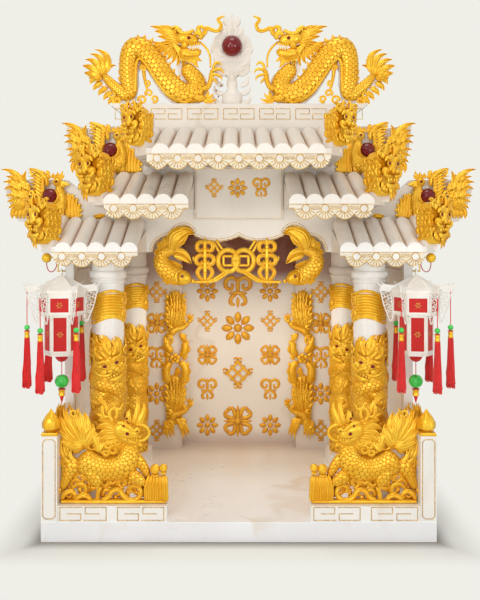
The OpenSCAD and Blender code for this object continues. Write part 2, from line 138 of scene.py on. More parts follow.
def axes(vector):
    """The x, y and z of a vector."""
    parts = vector.put("ShaderNodeSeparateXYZ", {0: vector})
    return [Value(parts.tree, parts.socket.node.outputs[axis]) for axis in "XYZ"]


PALE = (0.866, 0.861, 0.805, 1)
FILL = (0.39, 0.38, 0.365, 1)
FLOOR_PAINTED_SHADOW = (0.36, 0.33, 0.30, 1)
FLOOR_WHITE = (0.88, 0.90, 0.88, 1)
FLOOR_R = 6
scene = bpy.context.scene
scene.view_settings.view_transform = "Standard"


def show(name, data):
    """A new object in the scene."""
    made = bpy.data.objects.new(name, data)
    scene.collection.objects.link(made)
    return made


def ring_points(x, z, r, turns, *more):
    """Points on a circle at each of the turns, each followed by more."""
    return [(x + r * math.cos(turn), z + r * math.sin(turn), *more) for turn in turns]


lens = bpy.data.cameras.new("camera")
lens.lens = 41.44
lens.sensor_width = 36
lens.shift_x = 0.002
lens.shift_y = -0.095
camera = show("camera", lens)
camera.location = (0, cad_low.y - 1.0234, cad_low.z + 0.461)
camera.rotation_euler = (math.pi / 2, 0, 0)
scene.camera = camera


def surround():
    """Pale where the camera sees it, straight or through glass or in gloss, and soft white elsewhere."""
    world = bpy.data.worlds.new("surround")
    world.use_nodes = True
    start = Value(world.node_tree)
    rays = [start.put("ShaderNodeLightPath", out=f"Is {kind} Ray")
        for kind in ("Camera", "Glossy", "Transmission")]
    seen = start.math("MAXIMUM", rays[0], start.math("MAXIMUM", rays[1], rays[2]))
    colour = world.node_tree.nodes["Background"].inputs["Color"]
    world.node_tree.links.new(seen.mix(FILL, PALE).socket, colour)
    return world


scene.world = surround()


def panel(name, spot, target, size, watts, colour):
    light = bpy.data.lights.new(name, "AREA")
    light.shape = "DISK"
    light.size, light.energy, light.color = size, watts, colour
    lamp = show(name, light)
    lamp.location = spot
    lamp.visible_camera = False
    aim = np.array(target) - np.array(spot)
    lamp.rotation_euler = (math.atan2(math.hypot(aim[0], aim[1]), -aim[2]), 0, math.atan2(-aim[0], aim[1]))


panel("key_panel", (-0.8, -2.3, 1.25), (0, 0, 0.42), 0.6, 7.5, (1, 0.985, 0.95))
for side in (-1, 1):
    panel(f"side_panel_{side}", (side * 1.5, -2.0, 0.35), (0, 0, 0.4), 0.8, 8.5, (1, 0.985, 0.96))
panel("front_panel", (0, -2.4, 0.35), (0, 0, 0.25), 1.0, 7, (1, 0.98, 0.95))
panel("top_panel", (0, -0.9, 2.4), (0, -0.1, 0.4), 1.2, 11, (1, 0.965, 0.92))
panel("room_panel", (0, -0.03, 0.38), (0, -0.06, 0), 0.3, 0.45, (1, 0.95, 0.86))

cad_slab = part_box("base_slab")


def floor_finish():
    """Matt near the shrine, with a painted shadow that is greyest where it meets the slab, and like the
    surround further off.
    """
    made = bpy.data.materials.new("pale_floor")
    made.use_nodes = True
    tree = made.node_tree
    start = Value(tree)
    tree.nodes.remove(tree.nodes["Principled BSDF"])
    seen = start.put("ShaderNodeLightPath", out="Is Camera Ray")
    across, deep, _ = axes(place(start))
    outside = across.math("MAXIMUM", across.math("ABSOLUTE", across) - cad_slab[1].x,
        deep.math("ABSOLUTE", deep) - cad_slab[1].y)
    # Painted shadow: the floor's colour turns grey towards the edge of the slab.
    colour = outside.ease(-0.004, 0.03).mix(FLOOR_PAINTED_SHADOW, FLOOR_WHITE)
    matt = start.put("ShaderNodeBsdfDiffuse", {"Color": colour})
    glow = start.put("ShaderNodeEmission", {"Color": PALE})
    both = start.put("ShaderNodeMixShader", {0: seen * outside.ease(0.0, 0.09), 1: matt, 2: glow})
    tree.links.new(both.socket, tree.nodes["Material Output"].inputs["Surface"])
    return made


def pale_floor():
    turns = np.linspace(0, 2 * math.pi, 64, endpoint=False)
    rim = ring_points(0, 0, FLOOR_R, turns, cad_low.z - 0.0005)
    mesh = bpy.data.meshes.new("floor")
    mesh.from_pydata(rim, [], [range(64)])
    mesh.materials.append(floor_finish())
    show("floor", mesh)


pale_floor()


# ---- Slack cords ----
# A thin twisted red cord hangs in a loose bow from each gilt drop to the wire hook of its lantern. It
# leaves the drop's foot straight down, sags, and rises to the side of the hook's wire, where it is tied.
CORD_D = 0.0016
CORD_ROUTE = [(0, 0, 0), (0, 0, -3), (-0.5, -0.5, -6), (-1.5, -1, -9), (-3, -2, -11.5), (-5, -3, -13.5),
    (-7.5, -4, -14.5), (-10, -5.5, -14.5), (-12.5, -7, -13.5), (-14.5, -8, -12), (-16.5, -9, -9.5),
    (-18, -9.7, -6.5), (-18.8, -10, -3.5), (-19, -10, -0.5), (-19, -10, 2.5), (-19, -10, 5.5)]


def cord_paint(start):
    """Two strands twisted together: slanting stripes, with painted shade that darkens the valleys."""
    turn = place(start).put("ShaderNodeTexWave", {"Scale": 300.0, "Distortion": 1.0},
        bands_direction="DIAGONAL")
    return {"Base Color": turn.mix((0.28, 0.004, 0.006, 1), (0.68, 0.02, 0.025, 1)),
        "Normal": turn.bump(0.4, 0.0003)}


red_cord = material("red_cord", {"Roughness": 0.6, "Sheen Weight": 0.4}, cord_paint)


def slack_cord(name, side):
    low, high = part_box("corner_drops")
    exit_point = np.array([high.x - 0.008, (low.y + high.y) / 2, low.z])
    points = [(exit_point + MM * np.array(p)) * (side, 1, 1) for p in CORD_ROUTE]
    line = bpy.data.curves.new(name, "CURVE")
    line.dimensions = "3D"
    line.bevel_depth = CORD_D / 2
    line.bevel_resolution = 3
    line.use_fill_caps = True
    path = line.splines.new("POLY")
    path.points.add(len(points) - 1)
    for spot, point in zip(path.points, points):
        spot.co = (*point, 1)
    line.materials.append(red_cord)
    cord = show(name, line)
    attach(cord, "shrine")
    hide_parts("hanging_cords")


slack_cord("slack_cord_left", -1)
slack_cord("slack_cord_right", 1)


# ---- Base, posts and plinths ----
# A slab and boards of polished white marble with faint tan veins, glued edge to edge. The posts and the
# plinths have thin lines cut in them and filled with gold paint: a long cartouche, and square frets.
SLAB_TOP = cad_slab[1].z
SLAB_SIDE_PAINTED_SHADE = (0.85, 0.86, 0.89, 1)
SLAB_TOP_PAINTED_LIGHT = (0.93, 0.95, 0.97, 1)
WALL_WHITE = (0.88, 0.86, 0.83, 1)
COLUMN_PAINTED_LIGHT = (0.93, 0.92, 0.90, 1)
UPPER_PAINTED_SHADE = (0.84, 0.785, 0.715, 1)
ROOM_PAINTED_BOUNCE_LIGHT = (0.90, 0.845, 0.765, 1)
ROOM_PAINTED_SHADE = (0.27, 0.065, 0.018, 1)
VEIN_TAN = (0.66, 0.54, 0.40, 1)
COLUMN_BACK = (-0.24, -0.23)
ROOF_FOOT = (0.42, 0.50)
ROOM_SIDE = (0.26, 0.29)
ROOM_MOUTH = (-0.14, 0.18)
ROOM_BACK = (0.194, 0.200)
ROOM_TOP = (0.497, 0.500)


def marble_paint(start):
    """White with cloudy patches and thin tan veins, with painted light and shade: cool in the slab, creamy
    above, warm in the room, dark in its back corners.
    """
    spot = place(start)
    across, deep, up = axes(spot)
    cloud = spot.noise(7.0, 4.0)
    drift = spot.vector("MULTIPLY", spot.noise(5.0, 3.0, out=1), (0.35, 0.35, 0.35))
    bent = spot.vector("ADD", spot, drift)
    ridge = bent.math("ABSOLUTE", bent.noise(3.2, 2.0) - 0.5)
    vein = (1 - ridge.ease(0.0, 0.022)) * cloud.ease(0.42, 0.7)
    # Painted light: behind the front edge the marble is a brighter white, which makes up for the roofs'
    # shade on the columns.
    middle = deep.ease(*COLUMN_BACK).mix(WALL_WHITE, COLUMN_PAINTED_LIGHT)
    # Painted light and shade: the slab's top is a lighter white than its sides.
    slab = up.ease(SLAB_TOP - 0.002, SLAB_TOP - 0.0005).mix(SLAB_SIDE_PAINTED_SHADE, SLAB_TOP_PAINTED_LIGHT)
    tint = up.ease(SLAB_TOP + 0.0005, SLAB_TOP + 0.002).mix(slab, middle)
    # Painted shade: above the roofs' foot the marble turns a darker cream, which tones down the brightly
    # lit upper parts.
    tint = up.ease(*ROOF_FOOT).mix(tint, UPPER_PAINTED_SHADE)
    # Painted light: inside the room the marble takes a warm cream for the light thrown back by the gilt.
    between = 1 - across.math("ABSOLUTE", across).ease(*ROOM_SIDE)
    inside = (deep.ease(*ROOM_MOUTH) - deep.ease(*ROOM_BACK)) * (1 - up.ease(*ROOM_TOP)) * between
    # Painted shade: at the back of the room the marble turns dark brown along the floor and under the
    # ceiling.
    along_floor = (1 - up.ease(0.031, 0.065)) * 0.35
    under_ceiling = up.ease(0.36, 0.405)
    corner = deep.ease(0.08, 0.19) * (along_floor + under_ceiling) * inside
    warm = corner.mix(inside.mix(tint, ROOM_PAINTED_BOUNCE_LIGHT), ROOM_PAINTED_SHADE)
    dull = start.vector("MULTIPLY", warm, (0.93, 0.925, 0.92))
    ground = cloud.ease(0.3, 0.75).mix(dull, warm)
    return {"Base Color": (vein * 0.5).mix(ground, VEIN_TAN), "Roughness": cloud * 0.2 + 0.2,
        "Normal": spot.noise(220.0).bump(0.15, 0.0004)}


marble = material("marble", {"Specular IOR Level": 0.45}, marble_paint)


def patchy(name, constants, noise, colours, rough, rougher, ease=(0.3, 0.7)):
    """A material whose colour drifts in patches between two, and its roughness from rough by rougher."""
    def varying(start):
        patch = place(start).noise(*noise)
        share = patch.ease(*ease) if ease else patch
        return {"Base Color": share.mix(*colours), "Roughness": patch * rougher + rough}
    return material(name, constants, varying)


gold_line = patchy("gold_line", {"Metallic": 0.35}, (260.0, 2.0),
    ((0.40, 0.22, 0.03, 1), (0.76, 0.50, 0.11, 1)), 0.3, 0.3, (0.35, 0.7))


def finish_nodes(finish, slot_name, *names):
    """CAD nodes whose shape is right keep it and take a finish."""
    for name in names:
        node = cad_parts[name]
        for held in node.material_slots:
            held.material = finish


def spline(points, step):
    """Distances and points, about step apart, along a smooth line; every column of points is blended."""
    p = np.array(points, float)
    p = np.vstack([2 * p[0] - p[1], p, 2 * p[-1] - p[-2]])
    t = np.linspace(0, 1, 13)[:-1, None]
    rows = []
    for a, b, c, d in zip(p, p[1:], p[2:], p[3:]):
        bend, twist = 2 * a - 5 * b + 4 * c - d, 3 * b - a - 3 * c + d
        rows.append(0.5 * (2 * b + (c - a) * t + bend * t**2 + twist * t**3))
    rows = np.vstack(rows + [p[-2:-1]])
    run = np.concatenate([[0], np.cumsum(np.hypot(*np.diff(rows[:, :2], axis=0).T))])
    along = np.linspace(0, run[-1], max(4, int(round(run[-1] / step)) + 1))
    return along, np.column_stack([np.interp(along, run, column) for column in rows.T])


SHARP_DEGREES = 50


class Carving:
    """Closed shells that make one piece, drawn flat as [x, z] in millimetres, with y towards the back."""

    def __init__(self):
        self.shells = []

    def shell(self, verts, faces, marks, finish=0):
        """Keeps a closed shell, turned so that its faces point outwards; marks are its relief and skin."""
        verts = np.asarray(verts, float)
        corners = [(f[:, 0], f[:, k], f[:, k + 1]) for f in faces for k in range(1, f.shape[1] - 1)]
        centred = verts - verts.mean(0)
        volume = 0
        for a, b, c in corners:
            volume += np.einsum("ij,ij->", centred[a], np.cross(centred[b], centred[c]))
        if volume < 0:
            faces = [f[:, ::-1] for f in faces]
        marks = np.pad(marks, ((0, 0), (0, 4 - marks.shape[1])))
        self.shells.append((verts, faces, marks, finish))
        return self

    def rings(self, rings, relief=None, finish=0, loop=False):
        """A shell through rings of points, an array of ring by point by axis, with its ends closed."""
        count, sides = rings.shape[:2]
        at = np.arange(count * sides).reshape(count, sides)
        ahead = np.roll(at, -1, 0) if loop else at[1:]
        here = at if loop else at[:-1]
        quads = np.stack([here, ahead, np.roll(ahead, -1, 1), np.roll(here, -1, 1)], -1).reshape(-1, 4)
        relief = np.ones((count, sides, 1)) if relief is None else relief
        relief = relief.reshape(count * sides, -1)
        if loop:
            return self.shell(rings.reshape(-1, 3), [quads], relief, finish)
        ends = np.vstack([rings[0].mean(0), rings[-1].mean(0)])
        caps = [np.stack([np.roll(at[row], way), at[row], np.full(sides, count * sides + end)], -1)
            for row, way, end in ((0, -1, 0), (-1, 1, 1))]
        verts = np.vstack([rings.reshape(-1, 3), ends])
        return self.shell(verts, [quads, *caps], np.vstack([relief, relief[[0, -1]]]), finish)

    def stroke(self, points, y=0.0, depth=0.8, cut=None, bite=0.0, step=None, front=None, back=2, finish=0):
        """A rounded stroke through [x, z, half width] or [x, z, half width, y]; cut shapes its face."""
        widest = max(point[2] for point in points)
        step = step or min(1.2 + 0.35 * widest, getattr(cut, "step", 4.0))
        front = front or max(int(3.5 + 1.6 * math.sqrt(widest)), getattr(cut, "front", 0))
        along, p = spline(points, step)
        wide = np.maximum(p[:, 2], 0.12)
        for ends in (along, along[-1] - along):
            first = wide[0] if ends is along else wide[-1]
            wide = wide * np.sqrt(np.clip(1 - (1 - np.minimum(ends / max(first, 0.4), 1)) ** 2, 0.02, 1))
        ahead = np.gradient(p[:, :2], axis=0)
        ahead /= np.maximum(np.linalg.norm(ahead, axis=1, keepdims=True), 1e-6)
        turn = np.concatenate([np.linspace(0, math.pi, front + 1),
            np.linspace(math.pi, 2 * math.pi, back + 2)[1:-1]])
        across, out = np.cos(turn)[None], np.sin(turn)[None]
        low = np.zeros((len(p), len(turn)))
        marks = np.zeros((len(p), len(turn), 4))
        if cut is not None:
            even = np.maximum(p[:, 2], 0.12)
            run = np.concatenate([[0], np.cumsum(np.diff(along) * even.mean() / even[1:])])
            around = (turn[None] - math.pi / 2) * even.mean()
            low = cut(run[:, None], around, across, wide[:, None]) * (out > -0.01)
            pitch = getattr(cut, "pitch", None)
            if pitch:
                marks[..., 1:] = np.stack(
                    np.broadcast_arrays(run[:, None] / pitch, around / (0.82 * pitch), 1.0), -1)
        size = wide[:, None] + bite * low
        lift = p[:, 3:4] if p.shape[1] > 3 else 0.0
        rings = np.stack([p[:, :1] - ahead[:, 1:] * size * across,
            y + lift - (wide[:, None] * depth + bite * low) * out,
            p[:, 1:2] + ahead[:, :1] * size * across], -1)
        marks[..., 0] = 1 + 0.8 * low
        return self.rings(rings, marks, finish)

    def ball(self, x, z, r, y=0.0, deep=1.0, finish=0, sides=10):
        """A ball, or with deep a flattened one."""
        up = np.linspace(0, math.pi, sides // 2 + 2)[1:-1, None]
        turn = np.linspace(0, 2 * math.pi, sides, endpoint=False)[None]
        rings = np.stack([x + r * np.sin(up) * np.cos(turn), y - r * deep * np.cos(up) + 0 * turn,
            z + r * np.sin(up) * np.sin(turn)], -1)
        return self.rings(rings, finish=finish)

    def ribbon(self, points, width, y=0.0, thick=0.8, loop=False, finish=0):
        """A flat line of even width through [x, z] points, mitred at its corners, standing out from y."""
        p = np.array(points, float)
        ahead = np.roll(p, -1, 0) - p
        behind = p - np.roll(p, 1, 0)
        if not loop:
            ahead[-1], behind[0] = behind[-1], ahead[0]
        ahead, behind = (v / np.linalg.norm(v, axis=1, keepdims=True) for v in (ahead, behind))
        side = np.stack([-(ahead + behind)[:, 1], (ahead + behind)[:, 0]], -1)
        side /= np.linalg.norm(side, axis=1, keepdims=True)
        square = np.stack([-ahead[:, 1], ahead[:, 0]], -1)
        side *= width / 2 / np.maximum((side * square).sum(1, keepdims=True), 0.4)
        rings = np.stack([np.insert(p + s * side, 1, d, axis=1)
            for s, d in ((1, y - thick), (-1, y - thick), (-1, y), (1, y))], 1)
        return self.rings(rings, finish=finish, loop=loop)

    def plate(self, outline, y0, y1, soft=1.0):
        """A flat plate with a rounded front edge, cut to an outline that a point inside can see whole."""
        p = np.array(outline, float)
        middle = p.mean(0)
        shrink = [1 - soft * k / np.linalg.norm(p - middle, axis=1, keepdims=True)
            for k in (0, 0, 0.3, 1.0)]
        depth = [y1, y0 + soft, y0 + soft * 0.3, y0]
        rings = np.stack([np.insert(middle + (p - middle) * s, 1, d, axis=1)
            for s, d in zip(shrink, depth)])
        return self.rings(rings)

    def moved(self, x=0.0, y=0.0, z=0.0, turn=0.0, flip=False, size=1.0, tilt=0.0):
        """A copy: sized, mirrored in x if flip, tilted in its plane, turned about z, and moved."""
        c, s = math.cos(turn), math.sin(turn)
        level, rise = math.cos(tilt), math.sin(tilt)
        lean = np.array([(level, 0, rise), (0, 1, 0), (-rise, 0, level)])
        copy = Carving()
        for verts, faces, marks, finish in self.shells:
            v = (verts * ((-size, size, size) if flip else (size, size, size))) @ lean
            v = np.stack([c * v[:, 0] - s * v[:, 1] + x, s * v[:, 0] + c * v[:, 1] + y, v[:, 2] + z], -1)
            copy.shells.append((v, [f[:, ::-1] for f in faces] if flip else faces, marks, finish))
        return copy

    def __add__(self, other):
        both = Carving()
        both.shells = self.shells + other.shells
        return both

    def finished(self, finish):
        """A copy with every shell in one of the piece's finishes, by its number."""
        copy = Carving()
        copy.shells = [(verts, faces, marks, finish) for verts, faces, marks, _ in self.shells]
        return copy

    def pair(self, x=0.0, y=0.0, z=0.0):
        """The carving on the right of the middle, and its mirror image on the left."""
        right = self.moved(x, y, z)
        return right + right.moved(flip=True)

    def piece(self, name, body, slot_name, finishes, *replaced):
        """One mesh object with all the shells; relief is 0 in cut lines and 1 on the face."""
        mesh = bpy.data.meshes.new(name)
        faces, looks, start = [], [], 0
        for verts, groups, _, finish in self.shells:
            for group in groups:
                faces += (group + start).tolist()
                looks += [finish] * len(group)
            start += len(verts)
        mesh.from_pydata((np.vstack([shell[0] for shell in self.shells]) * MM).tolist(), [], faces)
        marks = np.vstack([shell[2] for shell in self.shells]).astype(np.float32)
        mesh.attributes.new("relief", "FLOAT", "POINT").data.foreach_set("value", marks[:, 0].copy())
        mesh.attributes.new("skin", "FLOAT_VECTOR", "POINT").data.foreach_set("vector",
            marks[:, 1:].ravel())
        for finish in finishes:
            mesh.materials.append(finish)
        mesh.polygons.foreach_set("material_index", looks)
        mesh.shade_smooth()
        mesh.set_sharp_from_angle(angle=math.radians(SHARP_DEGREES))
        made = show(name, mesh)
        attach(made, body)
        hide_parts(*replaced)
        return made


def scales(pitch):
    """Low domes of a net of round scales; the material draws the net itself from the skin attribute, as a
    bump and as painted shade in its lines.
    """
    def cut(along, around, across, wide):
        u, v = along / pitch, around / (pitch * 0.82)
        near = 9.0
        for row in (np.floor(v), np.floor(v) + 1):
            shift = u - 0.5 * (row % 2)
            near = np.minimum(near, np.hypot(shift - np.round(shift), 0.82 * (v - row)))
        return -np.clip(near / 0.6, 0, 1) ** 3
    cut.pitch, cut.step, cut.front = pitch, 2.4, 14
    return cut


def grooves(count):
    """Lengthwise grooves, as in a lock of hair."""
    def cut(along, around, across, wide):
        return 0.5 * np.cos(math.pi * count * (across + 1)) - 0.5
    cut.front = 3 * count + 3
    return cut


def barbs(pitch):
    """A feather: slanting cuts on each side of a quill."""
    def cut(along, around, across, wide):
        slant = (along + 1.2 * np.abs(across) * wide) / pitch
        return np.where(np.abs(across) < 0.16, 0.0, 0.55 * np.cos(2 * math.pi * slant) - 0.55)
    cut.step, cut.front = pitch / 1.7, 6
    return cut


def hoops(pitch):
    """Crosswise ribs, as on a horn or a belly."""
    def cut(along, around, across, wide):
        return 0.45 * np.cos(2 * math.pi * along / pitch) - 0.45 + 0 * across
    cut.step = pitch / 3
    return cut


def millimetres(node, right=False):
    """The lowest and highest corner of a CAD node, or of the part of it to the right of the middle."""
    spots = np.array([v.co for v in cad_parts[node].data.vertices]) / MM
    spots = spots[spots[:, 0] > 0] if right else spots
    return spots.min(0), spots.max(0)


finish_nodes(marble, "marble", "base_slab", "corner_posts", "front_plinths", "side_plinths")
LINE_W = 1.1


def fret_pairs(x0, x1, z0, z1, pairs, gap):
    """Pairs of frets, each an open frame with one end turned in to a short bar, that fill x0 to x1."""
    width = (x1 - x0 - gap * (pairs - 1)) / pairs
    w, h = width / 4 - 0.8, (z1 - z0) / 2
    fret = np.array([(-w * 0.4, 0), (w * 0.85, 0), (w * 0.85, h), (-w, h), (-w, -h), (w, -h)])
    row = Carving()
    for number in range(pairs):
        left = x0 + number * (width + gap)
        for middle, side in ((left + width * 0.25, 1), (left + width * 0.75, -1)):
            row.ribbon(fret * side + (middle, (z0 + z1) / 2), LINE_W, thick=0.5)
    return row


def line_frame(x0, x1, z0, z1, nip, width=LINE_W, thick=0.5):
    """A rectangle of gold line with its corners nipped off."""
    return Carving().ribbon([(x0 + nip, z0), (x1 - nip, z0), (x1, z0 + nip), (x1, z1 - nip),
        (x1 - nip, z1), (x0 + nip, z1), (x0, z1 - nip), (x0, z0 + nip)], width, thick=thick, loop=True)


def fence_lines():
    low, high = millimetres("front_plinths", right=True)
    frets = fret_pairs(low[0] + 4, high[0] - 3, low[2] + 2, high[2] - 2, 2, 16)
    lines = frets.pair(y=low[1])
    low, high = millimetres("corner_posts", right=True)
    cartouche = line_frame(low[0] + 3, high[0] - 3, low[2] + 5, high[2] - 5, 4)
    return lines + cartouche.pair(y=low[1])


fence_lines().piece("fence_gold_lines", "shrine", "gold_line", [gold_line])


# ---- Gilt fence ----
# The fence figures are carved in stone, pierced through, primed and gilded: a scaled beast with a curled
# mane that looks over its shoulder, on waves, with a draped bundle at the gate. Its eyes are red glass.
def scale_net(start):
    """1 in the sharp lines of the net of scales that the skin attribute lays out, and 0 elsewhere."""
    u, v, scaly = axes(start.put("ShaderNodeAttribute", out="Vector", attribute_name="skin"))
    near = None
    for step in (0, 1):
        row = v.math("FLOOR", v) + step
        shift = u - row.math("PINGPONG", row, 1.0) * 0.5
        level, upright = shift - shift.math("ROUND", shift), (v - row) * 0.82
        reach = (level * level + upright * upright).math("SQRT", level * level + upright * upright)
        near = reach if near is None else near.math("MINIMUM", near, reach)
    return near.ease(0.33, 0.53) * scaly


def relief(start):
    """1 on the face of a carving, and less in its cuts."""
    return start.put("ShaderNodeAttribute", out="Fac", attribute_name="relief")


def open_air(start, distance, **more):
    """1 where nothing stands within a distance of the surface, and less in corners."""
    return start.put("ShaderNodeAmbientOcclusion", {"Distance": distance}, out="AO", samples=5, **more)


def gilt_paint(start):
    """Gold leaf paint with painted light and shade: rich yellow on the face, orange brown in the cuts and
    where carvings meet.
    """
    spot = place(start)
    face = relief(start)
    net = scale_net(start)
    free = open_air(start, 0.007, only_local=True)
    # Painted shade and highlight: lit falls in the cuts, the scale net and where carvings meet, and the
    # colour runs with it from a deep brown shade to a yellow highlight.
    lit = face.ease(-0.1, 0.8) * free.ease(0.0, 0.75) * (1 - net * 0.9)
    patch = spot.noise(38.0, 3.0)
    warm = patch.ease(0.3, 0.7).mix((0.88, 0.46, 0.016, 1), (0.96, 0.60, 0.045, 1))
    rich = lit.ease(0.35, 0.95).mix((0.77, 0.33, 0.008, 1), warm)
    gold = lit.ease(0.0, 0.45).mix((0.36, 0.10, 0.003, 1), rich)
    return {"Base Color": gold, "Roughness": 0.38 - lit * 0.14 + patch * 0.06,
        "Normal": (spot.noise(420.0, 2.0) * 0.5 - net).bump(0.5, 0.0006)}


gilt = material("gilt", {"Metallic": 0.38, "Specular IOR Level": 0.35}, gilt_paint)
red_glass = patchy("red_glass", {"Coat Weight": 0.2, "Coat Roughness": 0.02, "Specular IOR Level": 0.4},
    (90.0, 2.0), ((0.11, 0.000, 0.003, 1), (0.26, 0.001, 0.004, 1)), 0.04, 0.05, None)
GLASS = 1


def flame(carving, root, tip, width, bend=0.15, y=0.0, cut=grooves(2), bite=0.8, depth=0.6, **more):
    """A lock or tongue from root to tip that bows to one side; bend is a share of its length."""
    root, tip = np.array(root, float), np.array(tip, float)
    way = tip - root
    side = np.array([-way[1], way[0]]) * bend
    points = []
    for part, bow, wide in ((0, 0, 0.55), (0.3, 0.8, 1), (0.65, 1, 0.8), (0.88, 0.55, 0.4), (1, 0, 0.05)):
        points.append((*(root + way * part + side * bow), width * wide))
    carving.stroke(points, y, depth, cut, bite, **more)


def volute(carving, x, z, r, width, turns=1.3, start=0.0, hand=1, y=0.0, **more):
    """A scroll that winds in from radius r."""
    points = []
    for part in np.linspace(0, 1, 9):
        turn = math.radians(start) + hand * 2 * math.pi * turns * part
        reach = r * (1 - part) ** 0.8 + 0.15 * r
        points.append((x + reach * math.cos(turn), z + reach * math.sin(turn), width * (1 - 0.35 * part)))
    carving.stroke(points, y, 0.8, cut=grooves(1), bite=0.5, **{"step": 2.5, "front": 5, **more})


def fan(carving, root, tips, width, y=0.0):
    """Locks that spread from one root to each of the tips, bowed away from the fan's middle."""
    for number, tip in enumerate(tips):
        lean = 0.1 * (1 - 2 * number / max(len(tips) - 1, 1))
        flame(carving, root, tip, width, lean, y + 0.3 * (number % 2), grooves(3), 0.7)


def eye(carving, x, z, r, y):
    """A round glass eye in a gilt rim."""
    carving.ball(x, z, r, y, 0.8, finish=GLASS)
    rim = ring_points(x, z, r * 1.15, np.linspace(0, 6.0, 9), r * 0.3)
    carving.stroke(rim, y - r * 0.2, 1.0)


def fence_beast():
    """Drawn from the gate's edge outwards, over the top of the plinth."""
    c = Carving()
    skin = scales(7.2)
    body = [(140, 70, 15), (131, 66, 20), (111, 56, 18.5), (88, 53, 19), (68, 60, 21), (61, 77, 17),
        (66, 94, 13)]
    c.stroke(body, 0, 0.62, skin, 1.3, front=22)
    legs = [[(138, 66, 14), (151, 53, 12), (160, 35, 8), (166, 20, 5)],
        [(124, 55, 12), (112, 39, 11), (106, 27, 8)],
        [(56, 74, 11), (43, 62, 9), (34, 47, 7), (31, 38, 4)], [(60, 47, 13), (46, 38, 10), (35, 29, 6)]]
    for number, leg in enumerate(legs):
        c.stroke(leg, -3 if number in (1, 3) else 2, 0.7, skin, 1.1)
        x, z = leg[-1][:2]
        for toe in (-5, 0, 5):
            flame(c, (x, z + 3), (x + (2 if number < 2 else -6), z - 7 + abs(toe) * 0.3 + toe * 0.4), 2.6,
                0.2, -4)
    # Tail fan, with a knot and spikes at its tip
    for tip, bend in (((168, 100), -0.1), ((168, 118), -0.12), ((168, 138), -0.1), ((162, 149), -0.05),
            ((152, 152), 0.0), ((143, 147), 0.06), ((132, 143), 0.1), ((120, 126), 0.14)):
        flame(c, (132, 88), tip, 8.0, bend, -1, grooves(3), 1.0, 0.45)
    volute(c, 146, 141, 5.5, 2.4, start=200, y=-5)
    for tip in ((137, 150), (127, 131), (116, 118)):
        flame(c, (128, 104), tip, 4.2, -0.2, -3)
    # Flames along the back, cloud curls in the dip, and strands by the post
    for tip in ((124, 110), (115, 112), (106, 109), (99, 103)):
        flame(c, (110, 80), tip, 5.0, 0.15, -2)
    for x, z, r, hand in ((93, 92, 6, 1), (84, 84, 6.5, -1), (96, 80, 5, 1), (78, 96, 5, 1)):
        volute(c, x, z, r, 2.6, hand=hand, start=120, y=-6)
    for x, low, high in ((166, 38, 106), (161, 46, 98), (157, 60, 92)):
        c.stroke([(x, low, 1.5), (x - 4, (low + high) / 2 - 8, 2.8), (x + 2, (low + high) / 2 + 10, 2.6),
            (x - 1, high, 0.8)], 2, 0.8, grooves(1), 0.6)
    for tip in ((163, 60), (160, 74), (150, 84)):
        flame(c, (140, 62), tip, 4.0, -0.25, -2)
    # Mane: long locks that flow back from the jaw, and tall ones over the skull
    for root, tip, width in (((70, 100), (103, 80), 6), ((72, 104), (108, 92), 6.5),
            ((72, 110), (110, 103), 6.5), ((74, 114), (112, 116), 6.5), ((76, 120), (109, 129), 6),
            ((66, 96), (90, 76), 5.5), ((60, 92), (76, 78), 5), ((56, 90), (62, 74), 4.5)):
        flame(c, root, tip, width, 0.16, -4, grooves(3), 1.0)
    for tip, width, bend in (((113, 166), 4.6, 0.16), ((106, 150), 5, 0.2), ((112, 140), 4.5, 0.15),
            ((98, 160), 4.6, -0.12), ((89, 152), 5, -0.2)):
        flame(c, (92, 120), tip, width, bend, -3, grooves(2), 0.9)
    # Head, turned to the gate: skull, brow, snout, jaw, horns and whisker
    c.stroke([(84, 122, 9), (74, 118, 13), (62, 113, 13), (52, 108, 10), (44, 106, 7)], -6, 0.7)
    c.stroke([(80, 112, 6), (66, 102, 8), (54, 97, 7), (45, 97, 5)], -6, 0.7, grooves(2), 0.8)
    c.stroke([(78, 128, 3), (68, 127, 4.2), (58, 121, 4), (52, 116, 3), (46, 118, 4), (42, 113, 3.4)], -13,
        0.8, hoops(3.5), 0.6)
    for x, z, r in ((61, 111.5, 3.2), (66, 124.5, 3.0), (62, 135, 2.2), (45, 116.5, 2.6)):
        eye(c, x, z, r, -14)
    for root, tip, width, bend in (((54, 122), (48, 162), 5, 0.1), ((48, 122), (37, 160), 4.6, 0.12),
            ((58, 124), (58, 148), 4.4, -0.1), ((44, 118), (33, 142), 4, -0.1)):
        flame(c, root, tip, width, bend, -8, grooves(2), 0.8)
    for points in ([(84, 128, 3), (90, 140, 3.4), (84, 150, 3), (74, 148, 2.4), (68, 158, 1)],
            [(80, 132, 3), (78, 144, 3), (86, 158, 1)], [(90, 136, 2.6), (98, 138, 2.4), (100, 148, 1)]):
        c.stroke(points, -8, 0.9, hoops(3), 0.5)
    c.stroke([(50, 124, 2), (38, 123, 2.4), (29, 116, 2.4), (29, 107, 2.2), (37, 100, 2), (46, 99, 1.6)],
        -8, 0.9)
    for x in range(47, 66, 4):
        flame(c, (x, 104), (x - 1, 98), 1.6, 0, -13, None, depth=0.9)
    for root, tip in (((50, 94), (46, 84)), ((56, 92), (52, 78)), ((62, 92), (60, 80)),
            ((44, 96), (38, 90))):
        flame(c, root, tip, 3.6, 0.2, -6)
